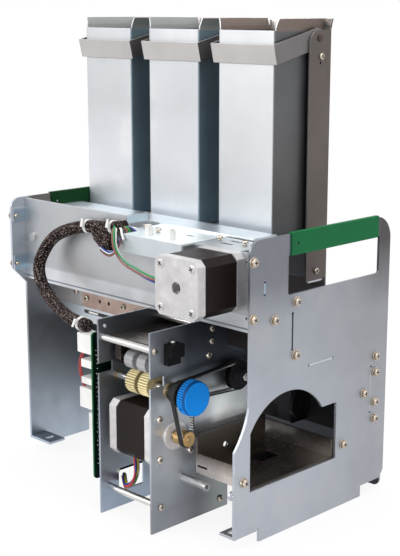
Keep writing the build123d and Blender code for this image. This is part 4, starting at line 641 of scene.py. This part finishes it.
def screws(node, name, washered):
    """Pan heads with cross recesses, a plain and a spring washer where asked for."""
    builder = bmesh.new()
    for count, points in enumerate(islands(node)):
        face, axis, radius, length = screw_place(points)
        if washered:
            stack, base, share = WASHERED_STACK, PLATE_WASHER + SPRING_WASHER, WASHERED_HEAD
        else:
            stack, base, share = BARE_STACK, 0.0, BARE_HEAD
        metal = NICKEL
        if not washered and face.y < MOTOR_REAR_Y and axis.y < -0.5:
            metal, share = SILVER, MOTOR_HEAD
        start = face - axis * stack
        if washered:
            add_washers(builder, start, axis, radius)
        head_radius = radius * share
        lathe(builder, start + axis * base, axis,
              [((stack - base) * along, head_radius * out) for along, out in PAN_PROFILE], material=metal)
        add_recess(builder, face, axis, head_radius, SCREW_TURN * count)
        if length > stack + SHORTEST_SHANK:
            lathe(builder, face - axis * length, axis,
                  [(0.0, SHANK_RADIUS), (length - stack, SHANK_RADIUS)], steps=12)
    piece = new_piece(name, builder, (screw_metal, bronze_metal, dark_recess, cast_metal))
    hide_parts(node)


screws("frame_screws", "frame_screw_set", True)
screws("small_screws", "small_screw_set", False)

# ------------------------------------------------------------------ cables, routes in millimetres
LOOM_ROUTE = [(-1.6, -53.2, 214.5), (-20.0, -54.5, 211.3), (-45.8, -55.2, 210.2), (-69.8, -57.2, 203.7),
              (-84.4, -59.2, 195.5), (-92.4, -62.2, 183.3), (-95.5, -65.2, 172.2), (-89.5, -68.2, 161.2),
              (-73.6, -73.2, 151.9), (-57.1, -78.2, 147.0), (-37.2, -84.2, 144.2), (-17.7, -89.2, 143.3),
              (-3.0, -90.4, 143.1)]
LOOM_RADIUS = 5.0
MOTOR_A_ROUTE = [(78.2, -68.0, 184.0), (68.0, -68.0, 184.0), (55.0, -68.0, 182.8), (41.0, -68.0, 183.4),
                 (28.0, -68.0, 187.0), (14.0, -68.0, 190.5), (3.6, -67.8, 199.0), (-0.5, -66.0, 208.0),
                 (-4.5, -61.5, 213.5)]
MOTOR_B_ROUTE = [(45.0, -86.0, 50.3), (45.0, -86.0, 45.0), (49.0, -89.0, 38.5), (46.0, -90.5, 30.0),
                 (36.0, -88.0, 24.5), (24.0, -80.0, 22.5), (12.5, -70.0, 21.8)]
WIRE_RADIUS = 0.75
WIRE_SPREAD = 1.7            # from the bundle's middle to each wire's
WIRE_WANDER = 0.5
rng = random.Random(4)


def metres(points):
    return [Vector(point) * MM for point in points]


def cord_curve(name, points, radius, material):
    """A held cable on one smooth spline; its points and radius are in millimetres."""
    curve = bpy.data.curves.new(name, "CURVE")
    curve.dimensions = "3D"
    curve.bevel_depth = radius * MM
    curve.bevel_resolution = 5
    curve.use_fill_caps = True
    curve.resolution_u = 16
    spline = curve.splines.new("NURBS")
    spline.points.add(len(points) - 1)
    for target, point in zip(spline.points, metres(points)):
        target.co = (*point, 1.0)
    spline.order_u = 3
    spline.use_endpoint_u = True
    curve.materials.append(material)
    piece = bpy.data.objects.new(name, curve)
    scene.collection.objects.link(piece)
    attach(piece, "frame")
    return piece


def wires(name, route, colours, node=None):
    """Separate insulated wires that run side by side along one route."""
    for count, colour in enumerate(colours):
        angle = 2 * math.pi * count / len(colours)
        points = []
        for place, point in enumerate(route):
            wander = 0.0 if place == 0 else rng.uniform(-WIRE_WANDER, WIRE_WANDER)
            points.append((point[0], point[1] + WIRE_SPREAD * math.cos(angle) + wander,
                           point[2] + WIRE_SPREAD * math.sin(angle) + wander))
        piece = cord_curve(name + "_" + colour, points, WIRE_RADIUS, wire_plastics[colour])
        if node and count == 0:
            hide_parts(node)


loom = cord_curve("loom_sleeve", LOOM_ROUTE, LOOM_RADIUS, sleeve_fabric)
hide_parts("loom")
wires("motor_a_wire", MOTOR_A_ROUTE, ("white", "green", "brown", "blue"), "motor_leads")
wires("motor_b_wire", MOTOR_B_ROUTE, ("white", "yellow", "blue", "red", "brown", "green"))


def along_curve(piece):
    """Points read along a cable's own smooth spline."""
    bare = piece.data.copy()
    bare.bevel_depth = 0.0
    holder = bpy.data.objects.new("bare", bare)
    mesh = bpy.data.meshes.new_from_object(holder)
    points = [vert.co.copy() for vert in mesh.vertices]
    bpy.data.meshes.remove(mesh)
    bpy.data.objects.remove(holder)
    bpy.data.curves.remove(bare)
    return points


# ------------------------------------------------------------------ cable ties
TIE_SHARES = (0.035, 0.125, 0.97)    # places along the loom, in shares of its length
TIE_HALF_WIDTH = 0.0013
TIE_THICK = 0.0007
TIE_ROUND = 0.0002
TIE_FRONT = Vector((0, -1, 0.4))     # the side of the loom that the locks are on
TIE_LOCK, TIE_LOCK_RISE = (0.0030, 0.0040, 0.0024), 0.0014
TIE_TAIL, TIE_TAIL_RISE, TIE_TAIL_SHIFT = (0.0020, 0.0050, 0.0007), 0.0026, 0.0020


def cable_ties(name, cable, radius, shares):
    """Nylon ties round a cable: a thin band with its lock and tail."""
    line = along_curve(cable)
    outside = radius + TIE_THICK
    band = [(0.0, radius), (TIE_ROUND, outside), (2 * TIE_HALF_WIDTH - TIE_ROUND, outside),
            (2 * TIE_HALF_WIDTH, radius)]
    builder = bmesh.new()
    for share in shares:
        index = min(int(share * len(line)), len(line) - 2)
        here, axis = line[index], (line[index + 1] - line[index]).normalized()
        lathe(builder, here - axis * TIE_HALF_WIDTH, axis, band, steps=28)
        up = (TIE_FRONT - axis * TIE_FRONT.dot(axis)).normalized()
        across = axis.cross(up)
        slab(builder, here + up * (radius + TIE_LOCK_RISE), (axis, across, up), TIE_LOCK)
        slab(builder, here + up * (radius + TIE_TAIL_RISE) + across * TIE_TAIL_SHIFT, (axis, across, up),
             TIE_TAIL)
    new_piece(name, builder, (white_plastic,))


cable_ties("loom_ties", loom, LOOM_RADIUS * MM, TIE_SHARES)

# ------------------------------------------------------------------ loose wires, in millimetres
FAN_START = (-4.0, -53.2, 213.9)
FAN_COLOURS = ("white", "black", "brown", "green", "black", "blue", "white")
FAN_STEP = 1.3
FAN_RADIUS = 0.9
# (along X, share of the step sideways, rise, share of the step upwards) of each point of a fan wire
FAN_SHAPE = ((-6.0, 0.3, 0.0, 0.5), (4.0, 1.2, 1.8, -0.5), (8.0, 2.2, -2.5, 0.0), (11.5, 2.4, -7.0, 0.0))
BOARD_LEAD_ROUTE = ((-4.6, -92.5, 123.4), (-8.4, -93.5, 118.0), (-8.8, -93.5, 104.0), (-5.0, -92.5, 95.1))
BOARD_LEAD_STEP = 0.9
BOARD_LEAD_RADIUS = 0.7


def fan_wires():
    """The loom's wires, spread out of the sleeve into the cover."""
    x, y, z = FAN_START
    for count, colour in enumerate(FAN_COLOURS):
        step = (count - len(FAN_COLOURS) // 2) * FAN_STEP
        points = [(x + along, y + sideways * step, z + rise + upwards * abs(step))
                  for along, sideways, rise, upwards in FAN_SHAPE]
        cord_curve("fan_wire_%d" % count, points, FAN_RADIUS, wire_plastics[colour])


def board_leads():
    """Short leads between the two large connectors on the board."""
    for count, colour in enumerate(("red", "black", "red")):
        points = [(x - BOARD_LEAD_STEP * count, y, z) for x, y, z in BOARD_LEAD_ROUTE]
        cord_curve("board_lead_%d" % count, points, BOARD_LEAD_RADIUS, wire_plastics[colour])


fan_wires()
board_leads()

# ------------------------------------------------------------------ belt teeth
TOOTH_PITCH = 0.002
TOOTH_LENGTH, TOOTH_HEIGHT = 0.0010, 0.0011
TOOTH_SUNK = 0.0003          # into the belt
TOOTH_PROUD = 0.00015        # past each side of the belt
SHORTEST_RUN = 1e-7
FEWEST_POINTS = 8


def rim_loops(node):
    """The closed loops of points along the edges of a belt's low X side."""
    face_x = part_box(node)[0].x
    builder = welded(node)
    beside = {}
    for edge in builder.edges:
        on_side = all(abs(vert.co.x - face_x) < WELD for vert in edge.verts)
        if on_side and any(abs(face.normal.x) < 0.5 for face in edge.link_faces):
            first, second = (vert.index for vert in edge.verts)
            beside.setdefault(first, set()).add(second)
            beside.setdefault(second, set()).add(first)
    loops, seen = [], set()
    for start in sorted(beside):
        if start in seen:
            continue
        loop, here = [], start
        while here is not None:
            seen.add(here)
            loop.append(builder.verts[here].co.copy())
            here = next((index for index in sorted(beside[here]) if index not in seen), None)
        loops.append(loop)
    builder.free()
    return loops


def loop_area(loop):
    return abs(sum(a.y * b.z - b.y * a.z for a, b in zip(loop, loop[1:] + loop[:1])))


def belt_teeth(name, node):
    """Teeth on the inside of a belt loop, from the loop's own inner edge."""
    low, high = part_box(node)
    inner = min((loop for loop in rim_loops(node) if len(loop) > FEWEST_POINTS), key=loop_area)
    centre = sum(inner, Vector()) / len(inner)
    size = (TOOTH_LENGTH, high.x - low.x + 2 * TOOTH_PROUD, TOOTH_HEIGHT)
    builder = bmesh.new()
    travelled = 0.0
    for start, end in zip(inner, inner[1:] + inner[:1]):
        run = (end - start).length
        if run < SHORTEST_RUN:
            continue
        direction = (end - start) / run
        inward = AXES[0].cross(direction)
        if inward.dot(centre - start) < 0:
            inward = -inward
        while travelled < run:
            spot = start + direction * travelled
            spot.x = (low.x + high.x) / 2
            slab(builder, spot + inward * (TOOTH_HEIGHT / 2 - TOOTH_SUNK), (direction, AXES[0], inward), size)
            travelled += TOOTH_PITCH
        travelled -= run
    new_piece(name, builder, (tooth_highlight_rubber,))


belt_teeth("feed_belt_teeth", "feed_belt")
belt_teeth("motor_belt_teeth", "motor_belt")

# ------------------------------------------------------------------ small pieces
BOSS_PROFILE = [(0.0, 0.0108), (0.0007, 0.0108), (0.0009, 0.0104), (0.0009, 0.0078), (0.0005, 0.0074),
                (0.0005, 0.0036)]
SENSOR_SCREW_X, SENSOR_SCREW_Y = 0.0763, -0.0775
SENSOR_SCREW_PROFILE = [(0.0, 0.0019), (0.0010, 0.0022), (0.0016, 0.0018), (0.0020, 0.0009)]
TAB_HEIGHTS = (0.2085, 0.1680)
TAB_EDGE_IN = 0.0016         # from the beam's left end
TAB_EDGE_Y = -0.0481
TAB_EDGE_SIZE = (0.0012, 0.0010, 0.0118)
SOLDER_COUNT = 26
SOLDER_Y, SOLDER_LOW_Z = -0.0915, 0.036
SOLDER_PITCH = 0.0036
SOLDER_WANDER_Y, SOLDER_WANDER_Z = 0.0012, 0.001
SOLDER_PROFILE = [(0.0, 0.0006), (0.0004, 0.00045), (0.0009, 0.00015)]
TRAY_WALL_X, TRAY_WALL_TOP = 0.08375, 0.069
HEM_START, HEM_END_Y = 0.0115, 0.004           # behind the tray's front, and in the frame
HEM_THICK, HEM_RISE = 0.0015, 0.0028
# The lip's rear top corner, the fold's corner below it, and the back plate's two
LIP_CORNER = ((0.0842, 0.0755, 0.3697), (0.0825, 0.0792, 0.3618), (0.0877, 0.0801, 0.3650),
              (0.0877, 0.0814, 0.3697))
LIP_SHEET = Vector((-0.0004, 0.0007, 0.0))
ROLLER_RIBS = 28
RIB_WIDTH, RIB_RISE, RIB_SUNK = 0.0009, 0.0007, 0.0002
RIB_END_GAP = 0.0004
SKIRT_SHEET = 0.0012
SKIRT_SET_BACK = 0.0001      # behind the middle panel's face
SHEET, DARK, LIGHT = 0, 1, 2
# X range, Z range below the panel, how far proud of the skirt, material
SKIRT_PIECES = (((-0.1340, 0.0140), (-0.0130, -0.0001), 0.0, SHEET),
                ((-0.0960, -0.0600), (-0.0052, -0.0022), 0.0001, DARK),
                ((-0.0900, -0.0780), (-0.0046, -0.0030), 0.0002, LIGHT))


def boss_ring():
    """The second motor's turned front boss, showing round the brass pulley."""
    builder = bmesh.new()
    place = middle("motor_pulley")
    place.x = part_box("transport_right_plate")[1].x
    lathe(builder, place, AXES[0], BOSS_PROFILE, steps=40)
    new_piece("motor_b_boss", builder, (rod_metal,))


def tab_highlights():
    """Painted highlights: bright slabs on the folded edges where the beam's end tabs meet the left plate."""
    builder = bmesh.new()
    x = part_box("front_beam")[0].x + TAB_EDGE_IN
    for z in TAB_HEIGHTS:
        slab(builder, Vector((x, TAB_EDGE_Y, z)), AXES, TAB_EDGE_SIZE)
    new_piece("beam_tab_highlights", builder, (rod_metal,))


def sensor_screw():
    """The clamp screw on top of the sensor beside the belt."""
    builder = bmesh.new()
    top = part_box("sensor_block")[1].z
    lathe(builder, Vector((SENSOR_SCREW_X, SENSOR_SCREW_Y, top)), AXES[2], SENSOR_SCREW_PROFILE, steps=20)
    new_piece("sensor_screw", builder, (rod_metal,))


def solder_points():
    """Soldered pins on the board's face, beside its front edge."""
    builder = bmesh.new()
    face_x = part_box("control_board")[1].x
    for count in range(SOLDER_COUNT):
        y = SOLDER_Y - SOLDER_WANDER_Y * rng.random()
        z = SOLDER_LOW_Z + SOLDER_PITCH * count + SOLDER_WANDER_Z * rng.random()
        lathe(builder, Vector((face_x, y, z)), AXES[0], SOLDER_PROFILE, steps=8)
    new_piece("board_solder", builder, (solder,))


def tray_hem():
    """Folded hem along the top of the tray's left wall, in near-black painted shade."""
    builder = bmesh.new()
    start_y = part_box("tray")[0].y + HEM_START
    centre = Vector((TRAY_WALL_X, (start_y + HEM_END_Y) / 2, TRAY_WALL_TOP + HEM_RISE / 2))
    slab(builder, centre, AXES, (HEM_THICK, HEM_END_Y - start_y, HEM_RISE))
    new_piece("tray_hem", builder, (dark_recess,))


def lip_corner():
    """Thin corner that closes the gap between the right magazine's lip and the back plate's."""
    builder = bmesh.new()
    for place in LIP_CORNER:
        builder.verts.new(place)
        builder.verts.new(Vector(place) + LIP_SHEET)
    bmesh.ops.convex_hull(builder, input=builder.verts)
    new_piece("lip_corner", builder, (back_metal,))


def roller_ribs():
    """Ribs along the feed rollers, turning with them."""
    builder = bmesh.new()
    for points in islands("feed_rollers"):
        low, high = span(points)
        centre, radius = (low + high) / 2, (high.y - low.y) / 2
        reach = radius + (RIB_RISE - RIB_SUNK) / 2
        for count in range(ROLLER_RIBS):
            angle = 2 * math.pi * count / ROLLER_RIBS
            out = Vector((0, math.cos(angle), math.sin(angle)))
            slab(builder, centre + out * reach, (AXES[0], AXES[0].cross(out), out),
                 (high.x - low.x - RIB_END_GAP, RIB_WIDTH, RIB_RISE + RIB_SUNK))
    new_piece("feed_roller_ribs", builder, (cream_rubber,), "drive_body")


def panel_skirt():
    """Narrow apron under the middle panel, with a slot drawn as a dark strip of painted shade, and a light
    tab in it.
    """
    builder = bmesh.new()
    panel_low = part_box("mid_panel")[0]
    middle_y = panel_low.y + SKIRT_SET_BACK + SKIRT_SHEET / 2
    for (x0, x1), (z0, z1), proud, material in SKIRT_PIECES:
        centre = Vector(((x0 + x1) / 2, middle_y - proud, panel_low.z + (z0 + z1) / 2))
        slab(builder, centre, AXES, (x1 - x0, SKIRT_SHEET, z1 - z0), material)
    new_piece("panel_skirt", builder, (zinc, dark_recess, white_plastic))


boss_ring()
tab_highlights()
sensor_screw()
solder_points()
tray_hem()
lip_corner()
roller_ribs()
panel_skirt()

# ------------------------------------------------------------------ the sleeve's frayed end
FRAY_ROUTE = [(-34.0, -56.5, 209.0), (-27.0, -58.0, 204.5), (-17.0, -59.0, 201.0), (-6.0, -59.0, 202.0)]
FRAY_RADII = [3.0, 5.2, 6.2, 5.0]              # evenly spaced along the route
FRAY_GUIDE_RADIUS = 0.5
FRAY_RAGGED = 0.14
FRAY_SKIP = 4                # guide points from one ring to the next
FRAY_STEPS = 18
FRAY_WIRE_RADIUS = 0.8
FRAY_WIRE_DROP = 1.1
# points of the first wire, and how much of the drop each takes for the next ones
FRAY_WIRE_ROUTE = (((-20.0, -62.0, 198.0), 1.0), ((-10.0, -64.0, 194.5), 1.0), ((-2.0, -64.0, 196.5), 0.5),
                   ((3.6, -63.0, 203.0), 0.0), ((4.0, -62.6, 208.0), 0.0))


def between(values, share):
    """Read a list at a share of its length, in a straight line from one value to the next."""
    place = share * (len(values) - 1)
    near = min(int(place), len(values) - 2)
    return values[near] + (values[near + 1] - values[near]) * (place - near)


def frayed_end():
    """A loose, ragged flare of sleeve under the loom, that follows a short cable of its own."""
    guide = cord_curve("fray_guide", FRAY_ROUTE, FRAY_GUIDE_RADIUS, sleeve_fabric)
    line = along_curve(guide)
    last = len(line) - 1
    builder = bmesh.new()
    rings = []
    for index in range(0, len(line), FRAY_SKIP):
        wide = between(FRAY_RADII, index / last) * MM
        axis = (line[min(index + 1, last)] - line[max(index - 1, 0)]).normalized()
        side = axis.cross(AXES[2]).normalized()
        radii = [wide * (1 + FRAY_RAGGED * rng.uniform(-1, 1)) for _ in range(FRAY_STEPS)]
        rings.append(ring_of(builder, line[index], side, side.cross(axis), radii))
    skin(builder, rings)
    new_piece("loom_fray", builder, (sleeve_fabric,))


def fray_wires():
    """The wires that leave the frayed end and turn up into the cover."""
    for count, colour in enumerate(("blue", "white", "black", "brown")):
        points = [(x, y, z - share * FRAY_WIRE_DROP * count) for (x, y, z), share in FRAY_WIRE_ROUTE]
        cord_curve("fray_wire_%d" % count, points, FRAY_WIRE_RADIUS, wire_plastics[colour])


frayed_end()
fray_wires()

# ------------------------------------------------------------------ studio
FLOOR_HALF = 3.0
FLOOR_COLOUR = (0.90, 0.90, 0.90)
FLOOR_WHITE = 0.90           # share of plain white in the floor close to the part
FLOOR_FADE = (0.35, 0.80)    # metres from the part where the floor turns to plain white
WHITE = (1.0, 1.0, 1.0)
FILL_COLOUR, FILL_STRENGTH = (0.92, 0.95, 1.0), 0.62
LAMP_TARGET = (0.0, 0.0, 0.18)
SNOOT_TARGET = (0.0738, -0.016, 0.084)         # the right transport plate, behind the knob


def studio_world():
    """White where it is seen or mirrored, and a weaker, cooler light elsewhere."""
    world = bpy.data.worlds.new("studio")
    scene.world = world
    world.use_nodes = True
    tree = world.node_tree
    tree.nodes.clear()
    output = tree.nodes.new("ShaderNodeOutputWorld")
    shown = tree.nodes.new("ShaderNodeBackground")
    put(tree, shown.inputs["Color"], WHITE)
    shown.inputs["Strength"].default_value = 1.0
    fill = tree.nodes.new("ShaderNodeBackground")
    put(tree, fill.inputs["Color"], FILL_COLOUR)
    fill.inputs["Strength"].default_value = FILL_STRENGTH
    rays = tree.nodes.new("ShaderNodeLightPath").outputs
    seen = math_node(tree, "MAXIMUM", rays["Is Camera Ray"], rays["Is Transmission Ray"])
    mix = tree.nodes.new("ShaderNodeMixShader")
    put(tree, mix.inputs["Fac"], math_node(tree, "MAXIMUM", rays["Is Glossy Ray"], seen))
    put(tree, mix.inputs[1], fill.outputs[0])
    put(tree, mix.inputs[2], shown.outputs[0])
    put(tree, output.inputs["Surface"], mix.outputs[0])


def floor():
    """A pale floor that keeps the part's shadow and turns to plain white away from it."""
    mesh = bpy.data.meshes.new("floor")
    half = FLOOR_HALF
    mesh.from_pydata([(-half, -half, 0), (half, -half, 0), (half, half, 0), (-half, half, 0)], [],
                     [(0, 1, 2, 3)])
    ground = bpy.data.objects.new("floor", mesh)
    scene.collection.objects.link(ground)
    material, tree, shader = node_tree("floor")
    put(tree, shader.inputs["Base Color"], FLOOR_COLOUR)
    shader.inputs["Roughness"].default_value = 0.9
    shader.inputs["Specular IOR Level"].default_value = 0.1
    plain = tree.nodes.new("ShaderNodeEmission")
    put(tree, plain.inputs["Color"], WHITE)
    rays = tree.nodes.new("ShaderNodeLightPath").outputs
    seen = math_node(tree, "MAXIMUM", rays["Is Camera Ray"], rays["Is Glossy Ray"])
    distance = tree.nodes.new("ShaderNodeVectorMath")
    distance.operation = "LENGTH"
    put(tree, distance.inputs[0], tree.nodes.new("ShaderNodeNewGeometry").outputs["Position"])
    fade = map_range(tree, distance.outputs["Value"], FLOOR_WHITE, 1.0, *FLOOR_FADE)
    mix = tree.nodes.new("ShaderNodeMixShader")
    put(tree, mix.inputs["Fac"], math_node(tree, "MULTIPLY", seen, fade))
    put(tree, mix.inputs[1], shader.outputs[0])
    put(tree, mix.inputs[2], plain.outputs[0])
    put(tree, tree.nodes["Material Output"].inputs["Surface"], mix.outputs[0])
    mesh.materials.append(material)


def add_light(data, power, place, target):
    data.energy = power
    light = bpy.data.objects.new(data.name, data)
    scene.collection.objects.link(light)
    light.location = place
    light.rotation_euler = (Vector(place) - Vector(target)).to_track_quat("Z", "Y").to_euler()
    return light


def lamp(name, place, size, power):
    """A soft rectangular lamp that shines on the part and isn't seen itself."""
    data = bpy.data.lights.new(name, "AREA")
    data.shape = "RECTANGLE"
    data.size, data.size_y = size
    add_light(data, power, place, LAMP_TARGET).visible_camera = False


def snoot(name, place, cone_degrees, lamp_radius, power):
    """A narrow spot with a soft edge."""
    data = bpy.data.lights.new(name, "SPOT")
    data.spot_size = math.radians(cone_degrees)
    data.spot_blend = 1.0
    data.shadow_soft_size = lamp_radius
    add_light(data, power, place, SNOOT_TARGET)


studio_world()
floor()
lamp("key", place=(-0.9, -1.6, 1.1), size=(1.2, 1.2), power=24.0)
snoot("snoot", place=(0.42, -0.80, 0.11), cone_degrees=7.0, lamp_radius=0.03, power=62.0)
lamp("side", place=(1.7, -0.3, 1.2), size=(0.8, 1.4), power=10.0)
lamp("top", place=(0.0, 0.2, 1.8), size=(1.4, 1.4), power=22.0)
scene.view_settings.view_transform = "Standard"
